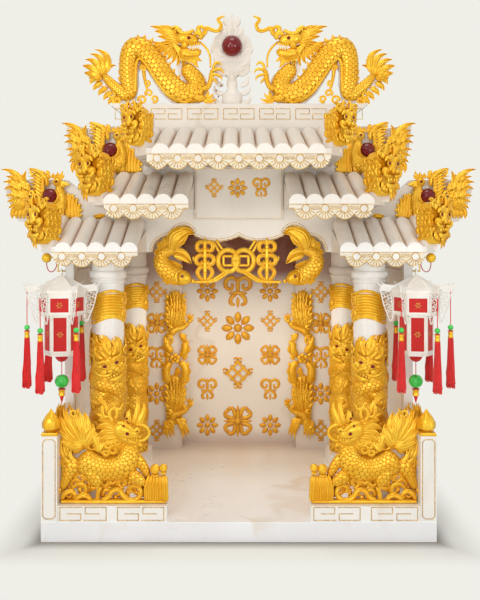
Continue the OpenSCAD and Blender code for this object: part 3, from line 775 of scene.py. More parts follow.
    # Waves and scrolls over the plinth
    c.stroke([(1, 3, 3), (60, 3, 3.4), (120, 3, 3.4), (168, 3, 3)], 0, 2.2)
    for points in ([(166, 5, 3), (160, 15, 4), (150, 19, 4), (144, 12, 3), (149, 7, 2)],
            [(146, 4, 3), (135, 12, 4.4), (125, 11, 4.4), (119, 3, 3)],
            [(110, 4, 3), (108, 18, 3.4), (103, 26, 2)],
            [(104, 5, 3), (93, 9, 4), (86, 19, 4), (76, 21, 4.4), (69, 12, 4.4), (60, 5, 4.4), (49, 6, 4),
                (42, 15, 4), (45, 25, 3.4), (55, 27, 3), (59, 20, 2.4), (53, 16, 2)],
            [(150, 22, 2), (140, 30, 3), (130, 28, 3.4), (128, 18, 3), (136, 15, 2)]):
        c.stroke(points, -2, 1.2, grooves(2), 0.8)
    # Curls and tongues deeper in, that fill the gaps round the legs and along the back
    for number, (x, z, r) in enumerate(((151, 46, 8), (137, 37, 9), (121, 40, 8), (146, 27, 8),
            (118, 24, 8), (132, 20, 7), (101, 31, 8), (86, 33, 8), (71, 29, 8), (57, 27, 7), (146, 84, 8),
            (133, 90, 8), (120, 88, 8), (107, 84, 8), (98, 98, 7), (40, 33, 8), (47, 19, 7), (36, 13, 7),
            (96, 12, 7), (76, 8, 7), (157, 12, 7), (160, 60, 8), (158, 78, 8))):
        volute(c, x, z, r, 4.2, hand=1 - 2 * (number % 2), turns=1.2, start=77 * number, y=5)
        flame(c, (x - 6, z - 6), (x + 8 - 16 * (number % 2), z + 12), 4.6, 0.25, 7, grooves(2), 0.8)
    # Bundle at the gate: two knobs over hanging folds
    for x, z, r in ((19.5, 53, 8), (6.5, 55, 6.5)):
        c.ball(x, z, r, -2, 1.0, sides=16)
        c.stroke([(x + r * 0.8, z - r * 0.9, 2.2), (x, z - r * 1.15, 2.4),
            (x - r * 0.8, z - r * 0.9, 2.2)], -3, 2.2)
    for number, x in enumerate((33, 27.5, 22, 16.5, 11, 5.5, 1.5)):
        lean = (x - 14) * 0.25
        c.stroke([(x, 3, 3.4), (x + 1, 20, 3.6), (x - lean * 0.4, 36, 3.2), (x - lean, 45, 1.6)],
            -2 - number % 2, 1.6, grooves(1), 0.7)
    return c


def fence():
    low, high = millimetres("front_fence_carvings", right=True)
    fence_beast().pair(low[0], (low[1] + high[1]) / 2, low[2]).piece("fence_beasts", "shrine", "gilt",
        [gilt, red_glass], "front_fence_carvings")


fence()


def side_fence():
    """A smaller pierced panel for each side: a coiled scaly beast on waves, under a fan and curls."""
    c = Carving()
    c.stroke([(1, 3, 3), (43, 3, 3.4), (85, 3, 3)], 0, 2)
    c.stroke([(3, 3, 3), (2.5, 60, 2.6), (4, 118, 2)], 0, 2, grooves(1), 0.6)
    for points in ([(84, 5, 3), (76, 13, 4), (66, 12, 4), (60, 5, 3)],
            [(60, 4, 3), (48, 14, 4), (36, 13, 4), (28, 4, 3)],
            [(28, 4, 3), (20, 14, 4), (10, 14, 3.4), (8, 8, 2)]):
        c.stroke(points, -1, 1.2, grooves(2), 0.8)
    body = [(16, 24, 6), (34, 20, 9), (56, 24, 12), (68, 40, 13), (62, 58, 13), (44, 66, 12), (30, 78, 11),
        (32, 96, 10), (46, 104, 9)]
    c.stroke(body, 0, 0.55, scales(6.4), 1.1, step=2.2, front=16)
    for tip in ((6, 22), (5, 32), (8, 42), (14, 46), (20, 40)):
        flame(c, (20, 26), tip, 4.4, 0.15, -1)
    for root, tips in (((62, 60), ((80, 62), (80, 72), (76, 82))),
            ((70, 36), ((82, 30), (83, 40), (82, 50))), ((30, 84), ((14, 84), (12, 96), (14, 108)))):
        fan(c, root, tips, 5, -1)
    for x, z, r, hand in ((46, 42, 8, 1), (46, 84, 8, -1), (66, 92, 7, 1), (14, 66, 8, -1), (76, 20, 6, 1)):
        volute(c, x, z, r, 3, hand=hand, start=x * 5, y=-1)
    # Head in profile, mane, horn, and a fan of locks up to the top edge
    c.stroke([(42, 106, 9), (54, 110, 10), (66, 106, 7), (74, 104, 5)], -3, 0.7, front=14)
    c.stroke([(50, 98, 6), (62, 94, 5), (71, 95, 3.4)], -3, 0.7, grooves(1), 0.6)
    eye(c, 61, 111, 2.8, -9)
    for x in (64, 68, 72):
        flame(c, (x, 101), (x - 0.5, 96), 1.6, 0, -5, None)
    for tip, width in (((70, 128), 4.4), ((60, 134), 5), ((48, 142), 5.4), ((36, 146), 5.6),
            ((24, 144), 5.6), ((14, 136), 5.4), ((8, 124), 5)):
        flame(c, (46, 106), tip, width, 0.12, -2, grooves(3), 0.9)
    c.stroke([(56, 118, 3), (64, 126, 3), (76, 128, 2.4), (82, 136, 0.8)], -4, 0.9, hoops(3), 0.5)
    return c


def side_fences():
    low, high = millimetres("side_fence_carvings", right=True)
    face = side_fence()
    both_faces = face + face.moved(flip=True, turn=math.pi)
    both_faces.moved(turn=math.pi / 2).pair((low[0] + high[0]) / 2, low[1], low[2]).piece(
        "side_fence_beasts", "shrine", "gilt", [gilt, red_glass], "side_fence_carvings")


side_fences()


# ---- Columns ----
# Four turned marble shafts on square plinths, each with a round double collar. A gilt cloud band is
# wrapped round the upper shaft, and a gilt dragon coils up the rest, its face on the inner front side.
def turned(profile, sides=40, step=1.5, lobes=0, swell=0.0):
    """A body turned round the upright axis through [r, z] points; lobes make it petalled."""
    _, p = spline(profile, step)
    turn = np.linspace(0, 2 * math.pi, sides, endpoint=False)[None]
    r = np.maximum(p[:, :1], 0.05) * (1 + swell * (np.abs(np.cos(turn * lobes / 2)) - 0.6))
    return Carving().rings(np.stack([r * np.cos(turn), r * np.sin(turn), p[:, 1:] + 0 * turn], -1))


def wrapped(flat, radius, squash=1.0):
    """A carving bent round an upright shaft: x runs round it, and y stands out from its face."""
    bent = Carving()
    for verts, faces, marks, finish in flat.shells:
        turn, reach = verts[:, 0] / radius, radius - verts[:, 1] * squash
        bent.shells.append((np.stack([reach * np.sin(turn), -reach * np.cos(turn), verts[:, 2]], -1),
            faces, marks, finish))
    return bent


def at_columns(carving, *rows):
    """The carving at the columns of each row, turned the same way on the right and mirrored on the left."""
    made = Carving()
    for row in rows:
        low, high = millimetres(row, right=True)
        made += carving.pair((low[0] + high[0]) / 2, (low[1] + high[1]) / 2)
    return made


finish_nodes(marble, "marble", "column_plinths", "front_columns", "back_columns")
PLINTH_TOP = millimetres("column_plinths", right=True)[1][2]
DRAGON_TOP = millimetres("front_column_dragons", right=True)[1][2]
column_low, column_high = millimetres("front_columns", right=True)
COLLAR = 3.6
SHAFT_R = (column_high[0] - column_low[0]) / 2 - COLLAR


def collars():
    """A round double collar near the top of a shaft."""
    top = column_high[2]
    upper = turned([(SHAFT_R - 1, top - 43.5), (SHAFT_R + 3, top - 42), (SHAFT_R + 4.6, top - 36.5),
        (SHAFT_R + 3, top - 31), (SHAFT_R - 1, top - 29.5)])
    lower = turned([(SHAFT_R - 1, top - 51), (SHAFT_R + 1.4, top - 50), (SHAFT_R + 2.2, top - 47.5),
        (SHAFT_R + 1.4, top - 45), (SHAFT_R - 1, top - 44)])
    return at_columns(upper + lower, "front_columns", "back_columns")


ROUND_WAY = 2 * math.pi * SHAFT_R


def cloud_band():
    """Long level ridges that rise and fall gently round the shaft, with curls at its side and back."""
    c = Carving()
    low, high = millimetres("cloud_bands", right=True)
    middle = (low[2] + high[2]) / 2
    for number in range(10):
        level = middle - 21 + 4.7 * number
        points = []
        for x in np.linspace(-ROUND_WAY * 0.5, ROUND_WAY * 0.5, 13):
            swing = 3.6 * math.sin(x * 2 * math.pi / (ROUND_WAY / 2) + 2.4)
            points.append((x, level + swing * (1.6 if number in (0, 9) else 1), 2.9))
        c.stroke(points, 0.6, 1.0, step=6, front=5)
    for x, z, r, hand in ((-36, 12, 10, 1), (-40, -12, 9, -1), (-58, 2, 8, 1), (60, 12, 9, -1),
            (64, -12, 9, 1)):
        volute(c, x, middle + z, r, 3.6, hand=hand, start=60, y=-2)
    return c


def dragon_face():
    """A broad face in relief about its nose: horns, parted mane, bulging eyes, fangs and beard."""
    c = Carving()
    locks = (((-30, 22), 0.2), ((-26, 34), 0.2), ((-17, 44), 0.14), ((-6, 50), 0.08), ((6, 50), -0.08),
        ((17, 44), -0.14), ((26, 34), -0.2), ((30, 20), -0.2), ((-34, 8), 0.2), ((34, 6), -0.2),
        ((-33, -6), 0.14), ((33, -8), -0.14), ((-29, -20), 0.1), ((29, -22), -0.1), ((-22, -32), -0.1),
        ((22, -34), 0.1), ((-11, -42), -0.1), ((11, -42), 0.1), ((0, -48), 0))
    for tip, bend in locks:
        flame(c, (tip[0] * 0.25, tip[1] * 0.25), tip, 5.4, bend, -2, grooves(2), 0.9)
    c.ball(0, 2, 16, -1, 0.5, sides=14)
    for side in (-1, 1):
        c.stroke([(side * 2, 6, 2.6), (side * 7, 12, 3.6), (side * 15, 13, 2.8), (side * 21, 19, 0.8)], -9,
            0.9, hoops(2.6), 0.5)
        eye(c, side * 8.5, 4.5, 3.2, -8)
        c.ball(side * 4.4, -5.5, 3.8, -10, 0.9)
        c.ball(side * 14, -4, 6, -5, 0.8, sides=12)
        c.stroke([(side * 3, -9, 2.4), (side * 13, -11, 2.8), (side * 22, -5, 2), (side * 27, 5, 0.6)], -7,
            0.9)
        c.stroke([(side * 7, 16, 3.4), (side * 16, 28, 3), (side * 13, 42, 1)], -6, 0.9, hoops(3), 0.5)
        for tooth in (2.4, 6.2, 10):
            flame(c, (side * tooth, -12), (side * tooth, -18), 1.5, 0, -8, None)
    c.stroke([(-11, -19, 2.4), (0, -21, 3.4), (11, -19, 2.4)], -7, 0.9)
    c.ball(0, -1, 4, -10, 0.9)
    return c


def relief_ground(low, high):
    """A scaled shell close round the shaft, swollen as more coils; its upper edge is ragged and slopes."""
    turn = np.linspace(0, 2 * math.pi, 50, endpoint=False)[None]
    top = high - 24 + 13 * np.sin(turn + 2.0) + 5 * np.sin(5 * turn + 1)
    share = np.linspace(0, 1, 54)[:, None]
    z = low + (top - low) * share
    coil = np.cos(turn + z / 5.5 + np.sin(2 * turn + z / 21)) + 0.35 * np.cos(7 * turn + z / 7)
    edge = np.minimum(np.minimum(share, 1 - share) * 20, 1)
    r = SHAFT_R + (2.3 + 1.6 * coil) * edge
    pitch, columns_round = 6.0, 38
    # Painted shade: the relief mark is lower where the coils dip, so the gilt is darker there.
    skin = np.broadcast_arrays(1 + 0.2 * np.minimum(coil, 0), z / pitch,
        columns_round * turn / (2 * math.pi), 1.0)
    return Carving().rings(np.stack([r * np.cos(turn), r * np.sin(turn), z], -1), np.stack(skin, -1))


def coiled_dragon():
    """A scaled body that winds up the shaft through flames and clouds, with claws and a tilted face."""
    c = Carving()
    low, high = PLINTH_TOP, DRAGON_TOP
    body = [(-30 + ROUND_WAY * 2.6 * t, low + 14 + (high - low - 80) * t + 6 * math.sin(11 * t),
        7 + 5 * t**0.5) for t in np.linspace(0, 1, 26)]
    c.stroke(body, -1, 0.7, scales(6.4), 1.2, step=3.7, front=12)
    for x, z, wide in body[1:-1]:
        flame(c, (x, z + wide * 0.7), (x - 5, z + wide + 8), 3.4, 0.2, -3, None)
    for number in range(10):
        volute(c, ROUND_WAY * number / 10, low + 9 + 5 * (number % 2), 7, 3, hand=1 - 2 * (number % 2),
            start=90 * number, y=-4)
    for number in range(20):
        t = (number + 0.5) / 20
        x = -30 + ROUND_WAY * (2.6 * t + 0.5) + 9 * math.sin(number * 2.4)
        z = low + 18 + (high - low - 76) * t
        volute(c, x, z, 7, 3, hand=1 - 2 * (number % 2), start=40 * number, y=-5)
        for bend in (0.3, -0.2):
            flame(c, (x + 8, z - 8), (x + 8 - 22 * bend, z + 14), 4.4, bend, -4, grooves(2), 0.7)
    face_x, face_z = -ROUND_WAY * 0.06, high - 62
    for x, z in ((face_x - 30, face_z - 62), (face_x + 28, face_z - 74), (face_x - 8, face_z - 112)):
        c.stroke([(x + 16, z + 16, 7), (x + 8, z + 8, 6), (x, z, 5)], -1.5, 0.8, scales(5), 1.0)
        for toe in (-8, -3, 3, 8):
            flame(c, (x, z), (x + toe - 3, z - 14 + abs(toe) * 0.4), 3, 0.2 * (1 if toe > 0 else -1), -3,
                None)
    # Locks over the brow, longest at the outer side, with cloud curls between them
    for number in range(9):
        x = face_x - 26 + 10 * number
        flame(c, (x - 5, face_z + 14 + number), (x + 3, high - 16 + 1.7 * number), 5.6,
            0.22 * (-1)**number, -4, grooves(2), 0.9)
    for x, z in ((20, 30), (36, 38), (50, 28), (34, 20), (46, 8), (-28, 24)):
        volute(c, face_x + x, face_z + z, 7.5, 3, hand=-1, start=x * 7, y=-6)
    return c + dragon_face().moved(face_x, -1, face_z, tilt=-0.35)


def columns():
    collars().piece("column_collars", "shrine", "marble", [marble])
    at_columns(wrapped(cloud_band(), SHAFT_R), "front_columns", "back_columns").piece("column_cloud_bands",
        "shrine", "gilt", [gilt], "cloud_bands")
    dragon = wrapped(coiled_dragon(), SHAFT_R, 0.66) + relief_ground(PLINTH_TOP, DRAGON_TOP)
    at_columns(dragon, "front_columns").piece("front_coiled_dragons", "shrine", "gilt", [gilt, red_glass],
        "front_column_dragons")
    at_columns(dragon.moved(z=-2), "back_columns").piece("back_coiled_dragons", "shrine", "gilt",
        [gilt, red_glass], "back_column_dragons")


def finials():
    """Lotus buds: a square foot, and a pointed bud in two layers of petals."""
    low, high = millimetres("post_finials", right=True)
    middle = (low + high) / 2
    tall, half = high[2] - low[2], (high[0] - low[0]) / 2
    bud = turned([(half * 0.55, 6), (half * 1.02, 12), (half * 1.08, 18), (half * 0.8, 27),
        (half * 0.34, 34), (0.6, tall - 0.3)], 48, 1.4, 6, 0.05)
    outer = turned([(half * 0.6, 6), (half * 1.06, 10), (half * 1.12, 15), (half * 1.1, 20)], 48, 1.4, 6,
        0.1)
    foot = turned([(half * 0.8, 4.5), (half * 0.62, 6.5), (half * 0.7, 8)], 32, 1)
    square = Carving().rings(np.stack([np.array([(-s, -s, z), (s, -s, z), (s, s, z), (-s, s, z)], float)
        for s, z in ((half - 0.6, 0), (half, 0.6), (half, 4.4), (half - 0.6, 5))]))
    (bud + outer + foot + square).pair(middle[0], middle[1], low[2]).piece("lotus_buds", "shrine", "gilt",
        [gilt], "post_finials")


finials()
columns()


# ---- Walls, recess and panels ----
# Plain marble boards. The recess, the panels beside it and the plaque over the arch carry rows of gilt
# good-luck ornaments in low relief: rosettes, ruyi clouds, knots and scrolled flowers.
finish_nodes(marble, "marble", "side_walls", "rear_boards", "recess_jambs", "back_centre_panel",
    "back_side_panels", "deck", "arch_wall", "plaque")
CENTRE_COLUMN = (355, 277, 180, 76)
SIDE_COLUMN = (357, 292, 219, 144, 67)
RECESS_X = 68
PANEL_X = 172
PLAQUE_ROW = (-43, -2, 39)
PLAQUE_Z = 557


def mirrored(points):
    return [(-point[0], *point[1:]) for point in points]


def ornament(kind):
    """One flat motif, 40 mm high, about its own middle."""
    c = Carving()
    flat = {"depth": 0.45, "step": 2, "front": 5, "back": 1}
    if kind == "rosette":
        for turn in np.radians(np.arange(0, 360, 45)):
            way = np.array([math.sin(turn), math.cos(turn)])
            c.stroke([(*(way * 6), 1.6), (*(way * 12), 4.4), (*(way * 17), 3.4), (*(way * 20), 0.4)],
                **flat)
        c.ball(0, 0, 5.2, 0, 0.6, sides=14)
    elif kind == "ruyi":
        for side in (1, -1):
            scroll = [(0, 13, 2.0), (7, 18, 2.6), (14, 15, 2.8), (15, 7, 2.8), (9, 3, 2.4), (6, 8, 1.8),
                (9.5, 10, 1.2)]
            c.stroke(scroll if side > 0 else mirrored(scroll), **flat)
            foot = [(1.5, -2, 2.4), (8, -7, 2.6), (9, -14, 2.4), (3, -16, 1.8)]
            c.stroke(foot if side > 0 else mirrored(foot), **flat)
        c.stroke([(0, 20, 0.6), (0, 14, 2.2), (0, 6, 2.6), (0, 0, 2.4)], **flat)
        c.stroke([(-12, -2, 1.2), (0, -1, 2.4), (12, -2, 1.2)], **flat)
        c.stroke([(0, -6, 1.2), (0, -13, 2.2), (0, -20, 0.5)], **flat)
    elif kind == "knot":
        for shift in (-6.5, 0, 6.5):
            for hand, over in ((1, 0), (-1, 0.5)):
                points = [(hand * (shift - 8.5), -shift - 8.5), (hand * (shift + 8.5), -shift + 8.5)]
                c.ribbon(points, 3, 0.3, 1.5 + over)
        for hand in (1, -1):
            for x, z in ((15.5, 2.5), (2.5, 15.5), (2.5, -15.5)):
                ring = ring_points(x, z, 2.6, np.linspace(0, 6.0, 7), 1.3)
                c.stroke(ring if hand > 0 else mirrored(ring), **flat)
    else:
        for turn in np.radians([45, 135, 225, 315]):
            way = np.array([math.cos(turn), math.sin(turn)])
            side = np.array([-way[1], way[0]])
            for hand in (1, -1):
                curl = [(5, 0, 2.2), (10, 4.5, 2.8), (16, 6, 2.6), (19, 1.5, 2.0), (15, 0.5, 1.3)]
                c.stroke([(*(way * a + side * b * hand), w) for a, b, w in curl], **flat)
        c.stroke([(0, -20, 0.6), (0, -10, 2.4), (0, 10, 2.4), (0, 20, 0.6)], **flat)
        c.stroke([(-18, 0, 0.6), (-9, 0, 2.2), (9, 0, 2.2), (18, 0, 0.6)], **flat)
        c.ball(0, 0, 4.6, 0, 0.7, sides=12)
    return c


def old_gilt_paint(start):
    """Gold paint, more orange than the leaf on the carvings, with a brown outline that is painted shade
    where it meets the wall.
    """
    face = relief(start)
    # Painted shade: lit falls where the strokes meet the wall and one another.
    lit = open_air(start, 0.004).ease(0.45, 0.95) * face
    patch = place(start).noise(70.0, 3.0)
    tone = patch.ease(0.3, 0.7).mix((0.74, 0.32, 0.012, 1), (0.86, 0.46, 0.025, 1))
    return {"Base Color": lit.mix((0.30, 0.07, 0.003, 1), tone), "Roughness": patch * 0.2 + 0.32}


old_gilt = material("old_gilt", {"Metallic": 0.3}, old_gilt_paint)


def ornaments():
    kinds = [ornament(kind) for kind in ("ruyi", "rosette", "knot", "scrolled flower")]
    recess_y, panel_y = (millimetres(name)[0][1] for name in ("back_centre_panel", "back_side_panels"))
    made = Carving()
    for number, z in enumerate(CENTRE_COLUMN):
        made += kinds[number].moved(-2, recess_y, z, size=(1.75, 1.8, 1.8, 1.75)[number])
    for number, z in enumerate(SIDE_COLUMN):
        made += kinds[(number + 1) % 4].moved(y=recess_y, size=1.2).pair(RECESS_X, 0, z)
        made += kinds[(number + 2) % 4].moved(y=panel_y, size=1.2).pair(PANEL_X, 0, z + 1)
    for number, x in enumerate(PLAQUE_ROW):
        made += kinds[2 - number].moved(x, millimetres("plaque")[0][1], PLAQUE_Z, size=0.88)
    made.piece("gilt_ornaments", "shrine", "gilt", [old_gilt])


ornaments()


def wall_lines():
    """A thin gold line round the plaque, and one round the inner face of each side wall."""
    low, high = millimetres("plaque")
    lines = line_frame(low[0] + 2, high[0] - 2, low[2] + 2, high[2] - 2, 0.1, 0.7, 0.3).moved(y=low[1])
    low, high = millimetres("side_walls", right=True)
    panel = line_frame(74 - high[1], -low[1] - 14, low[2] + 30, high[2] - 82, 12, LINE_W, 0.4)
    lines += panel.moved(turn=-math.pi / 2).pair(low[0])
    lines.piece("wall_gold_lines", "shrine", "gold_line", [gold_line])


wall_lines()


# ---- Arch ----
# A double gold line follows the cusps of the opening. Two gilt carps leap in its corners with their tails
# fanned under the lobes, and between them two joined cash coins hang on straps among openwork scrolls.
def arc(x, z, r, start, end, count):
    return ring_points(x, z, r, np.radians(np.linspace(start, end, count + 1)))


def arch_lines():
    """The opening's outline, moved out by two distances: a low lobe, a crown, a dip and the middle peak."""
    half = 152
    springing = millimetres("arch_wall")[0][2]
    c = Carving()
    for out, width in ((1.2, 1.6), (5.0, 0.9)):
        left = (arc(-half + 30, 0, 29 + out, 180, 92, 12) + arc(-half + 55, 27, 19.5 + out, 160, 22, 14)
            + arc(-half / 4, 101, 82.8 - out, 239, 294, 16) + [(0, 27.5 + out * 1.4)])
        right = [(-x, z) for x, z in left[-2::-1]]
        c.ribbon(left + right, width, thick=0.5)
    c.moved(y=millimetres("arch_wall")[0][1], z=springing).piece("arch_gold_lines", "shrine", "gold_line",
        [gold_line])


def carp():
    """Drawn from the middle outwards, with heights over the springing: head in and down, tail up."""
    c = Carving()
    body = [(84, -49, 6), (92, -46, 12), (108, -42, 16), (124, -33, 17), (134, -18, 15), (132, -4, 11.5),
        (121, 2, 9), (110, 1, 7)]
    c.stroke(body, 0, 0.55, scales(6.4), 1.3, front=18)
    c.stroke([(82, -50, 4.5), (90, -47, 10), (99, -44, 12.5), (108, -42, 11)], -4, 0.7)
    c.stroke([(106, -53, 1.4), (109, -42, 2.4), (105, -32, 1.4)], -12, 0.9)
    c.stroke([(81, -46, 1.8), (79, -50, 2.4), (83, -54, 1.8)], -5, 1.0)
    eye(c, 97.5, -41.5, 3.0, -12.5)
    # Tail in two broad ribbed lobes, back fins by the corner of the arch, and small fins inside the curl
    for fin, ribs in (([(118, 1, 6), (114, 13, 12), (109, 24, 17), (99, 32, 14), (88, 36, 7.5),
            (78, 31, 0.6)], 6), ([(115, -3, 6), (104, -3, 10.5), (94, -8, 9), (82, -20, 0.8)], 5)):
        c.stroke(fin, -1.5, 0.4, grooves(ribs), 1.5)
    for fin in ([(127, -10, 4), (138, -3, 7), (147, 4, 6)], [(127, 2, 5), (135, 11, 8), (141, 18, 6.5)],
            [(122, 8, 5), (127, 19, 8), (128, 27, 6)], [(132, -20, 3), (141, -16, 6), (149, -12, 5)]):
        c.stroke(fin, 1, 0.45, grooves(3), 1.3)
    fan(c, (121, -18), ((114, -15), (108, -19), (101, -22), (97, -27), (104, -30)), 4.2, 1)
    fan(c, (118, -50), ((134, -52), (128, -56), (112, -58)), 4.0, -4)
    return c


def coin_fretwork():
    """Two cash coins that share their inner rims, straps up and down from them, and scrolls beside them."""
    c = Carving()
    middle = -5.0
    level = -15
    for side in (-1, 1):
        x = middle + side * 13.8
        for r, width, y in ((17.4, 4.2, 0), (18.2, 1.2, -3.2)):
            ring = [(x - side * r * math.cos(a), level + (r + 1.5) * math.sin(a), width)
                for a in np.linspace(-0.15, 6.45, 27)]
            c.stroke(ring, y, 0.8)
        for near in (-8, 8):
            c.stroke([(x + along, level + near, 2.3) for along in (-9.6, 0, 9.6)], 1, 0.8)
            c.stroke([(x + near, level + along, 2.3) for along in (-9.6, 0, 9.6)], 1, 0.8)
    for side in (-1, 1):
        x = middle + side * 18
        for shift in (0, 6):
            c.stroke([(x + side * (4 + shift * 0.8), 2 - shift, 2.2),
                (x + side * (17 + shift), 22 - shift * 0.2, 2.6)], 2, 1.0)
            c.stroke([(x - side * 6, -29 - shift * 0.9, 2.4), (x + side * 14, -43 - shift * 0.8, 2.6),
                (x + side * 30, -50 - shift * 0.3, 2.6), (x + side * 62, -52, 2.4)], 0, 1.0)
    # Openwork in the two gaps: a ruyi cloud over a scrolled stem with leaves
    for side in (-1, 1):
        x = middle + side * 54
        for hand in (1, -1):
            c.stroke([(x, 14, 2), (x + hand * 6, 18, 3.6), (x + hand * 13, 14, 4), (x + hand * 13, 5, 4),
                (x + hand * 6, 2, 3.4), (x + hand * 5, 8, 2)], -1, 0.9, grooves(1), 0.5)
            c.stroke([(x, -8, 3), (x + hand * 7, -5, 3.8), (x + hand * 15, -10, 4),
                (x + hand * 14, -19, 4), (x + hand * 6, -21, 3.4), (x + hand * 6, -14, 2)], -1, 0.9,
                grooves(1), 0.5)
            c.stroke([(x, -26, 3), (x + hand * 8, -27, 4), (x + hand * 13, -35, 4),
                (x + hand * 9, -44, 3.6), (x + hand * 2, -50, 3)], -1, 0.9, grooves(1), 0.5)
            flame(c, (x + hand * 11, -18), (x + hand * 20, -6), 2.8, -0.2 * hand, 0)
        c.stroke([(x, 26, 1), (x, 14, 3.6), (x, -6, 3.8), (x, -30, 3.8), (x, -52, 3)], 0, 1.0)
        for z in (9, -14, -37):
            c.ball(x, z, 3.4, -4, 0.8)
    return c


def strip_phoenixes():
    """Two phoenixes with long tails, one over the other, joined by a five-petalled flower."""
    c = Carving()
    feather = {"cut": barbs(4.4), "bite": 1.0}
    for base, size in ((286, 1), (110, 0.95)):
        # Tail or wing feathers that rise from the body, spikes down the inner edge, and the neck and head
        for number, x in enumerate((154, 147, 140, 133, 126, 119, 112)):
            tall = (66, 78, 82, 80, 80, 76, 60)[number] * size
            flame(c, (138 + (x - 138) * 0.5, base - 4), (x, base + tall), 4.6, 0.06, -1 - number % 2,
                **feather)
        for number in range(6):
            z = base + 6 + 11 * number
            flame(c, (120, z - 4), (107 + number % 2, z + 9), 3.6, -0.15, -3)
        for number in range(5):
            z = base + 10 + 13 * number
            flame(c, (148, z - 4), (157, z + 8), 3.6, 0.15, -3)
        for x, z in ((146, base + 22), (134, base + 18), (127, base + 36), (141, base + 42),
                (133, base + 56)):
            volute(c, x, z, 4.5, 2.0, start=x, y=-5)
        c.stroke([(142, base - 18, 8), (136, base - 8, 8), (126, base - 4, 6.5), (113, base + 1, 5.5),
            (104, base + 11, 5)], -3, 0.8, scales(4.6), 1.0)
        c.ball(101.5, base + 14, 5.6, -4, 0.9, sides=12)
        for tip, width in (((93.5, base + 21), 2.6), ((95, base + 12), 2.0)):
            flame(c, (100, base + 15), tip, width, 0, -4, None)
        fan(c, (103, base + 17), ((96, base + 27), (102, base + 30), (108, base + 28)), 2.6, -4)
        fan(c, (108, base + 6), ((118, base + 10), (117, base + 3)), 3.0, -5)
        eye(c, 101, base + 15.5, 1.5, -8)
        # Curled wing beside the neck, with a small barred one under it
        for number in range(5):
            flame(c, (136, base - 8 - 4 * number), (155 - number, base + 2 - 8 * number), 4.2, 0.25, -4,
                **feather)
        volute(c, 145, base - 26, 9, 3.2, hand=-1, start=40, y=-5)
        fan(c, (124, base - 14), ((107, base - 18), (107, base - 25), (109, base - 32), (114, base - 38)),
            4.2, -3)
    # Arcs round the openings, the flower, and the tail at the foot
    for points in ([(150, 264, 6.5), (149, 246, 8), (138, 231, 6.5)],
            [(114, 256, 7), (112, 238, 8.5), (122, 224, 6.5)],
            [(124, 214, 6.5), (112, 202, 8.5), (112, 184, 8.5), (119, 168, 5)],
            [(140, 213, 6.5), (150, 202, 8.5), (151, 184, 8.5), (144, 170, 5)]):
        c.stroke(points, -2, 0.7, grooves(3), 1.0)
    for x, z, hand in ((155, 262, 1), (156, 246, 1), (150, 232, 1), (107, 254, -1), (104, 240, -1),
            (110, 226, -1), (106, 208, -1), (103, 194, -1), (105, 178, -1), (156, 208, 1), (158, 194, 1),
            (157, 178, 1)):
        flame(c, (x - 8 * hand, z - 8), (x, z + 6), 4.4, -0.2 * hand, -1)
    flower_x, flower_z = 132.5, 221
    for x, z in ring_points(flower_x, flower_z, 7, np.radians(np.arange(90, 450, 72))):
        c.ball(x, z, 5, -6, 0.7, sides=12)
    c.ball(flower_x, flower_z, 3.2, -10, 0.8)
    fan(c, (128, 202), ((120, 186), (128, 180), (136, 184)), 3.6, -1)
    for number, (x, z) in enumerate(((154, 58), (147, 52), (140, 54), (133, 58), (117, 50), (110, 54),
            (104, 60))):
        flame(c, (136 + (x - 130) * 0.4, 96), (x, z), 5.0, 0.1 if number < 4 else -0.1, -3, **feather)
    # Ground behind the feathers, which leaves the openings free
    for points in ([(134, 362, 10), (133, 330, 20), (134, 296, 20), (136, 276, 10)],
            [(148, 272, 6), (152, 245, 5), (150, 215, 5), (152, 190, 6)],
            [(134, 186, 12), (134, 150, 19), (135, 115, 18), (134, 80, 14)]):
        c.stroke(points, 5.5, 0.16)
    return c


arch_lines()
wall_front = millimetres("arch_carps")[1][1]
arch_foot = millimetres("arch_wall")[0][2]
carp().pair(y=wall_front - 4, z=arch_foot).piece("leaping_carps", "shrine", "gilt", [gilt, red_glass],
    "arch_carps")
coin_fretwork().moved(y=wall_front - 4, z=arch_foot).piece("coins_and_scrolls", "shrine", "gilt", [gilt],
    "coin_fretwork")
strip_phoenixes().pair(y=millimetres("phoenix_strips")[1][1] - 6).piece("long_tailed_phoenixes", "shrine",
    "gilt", [gilt, red_glass], "phoenix_strips")


# ---- Roofs ----
# Marble eaves in three tiers, cut as rows of rounded tile rolls that run up the slope. Under each fascia
# hangs a cream lace board of half rosettes, every petal outlined in gold.
finish_nodes(marble, "marble", "lower_roofs", "middle_roofs", "top_roof")


def tile_paint(start):
    """The same marble, with painted light that whitens the tops of the rolls and painted shade that tans
    the valleys between them.
    """
    looks = marble_paint(start)
    # Painted light and shade: whiter where the rolls are open, tan where the valleys close in.
    painted_valley_shade = open_air(start, 0.03).ease(0.35, 0.9).mix((0.86, 0.72, 0.62, 1), (1.10, 1.12, 1.14, 1))
    looks["Base Color"] = start.vector("MULTIPLY", looks["Base Color"], painted_valley_shade)
    return looks


tile_marble = material("tile_marble", {"Specular IOR Level": 0.45}, tile_paint)


def geometry_tree(name, sizes):
    """A new Geometry Nodes tree with named inputs, given as kinds and first values, and those inputs."""
    tree = bpy.data.node_groups.new(name, "GeometryNodeTree")
    tree.interface.new_socket("Geometry", in_out="INPUT", socket_type="NodeSocketGeometry")
    tree.interface.new_socket("Geometry", in_out="OUTPUT", socket_type="NodeSocketGeometry")
    for label, (kind, value) in sizes.items():
        tree.interface.new_socket(label, in_out="INPUT",
            socket_type=f"NodeSocket{kind}").default_value = value
    source = tree.nodes.new("NodeGroupInput")
    return tree, {socket.name: Value(tree, socket) for socket in source.outputs if socket.name}


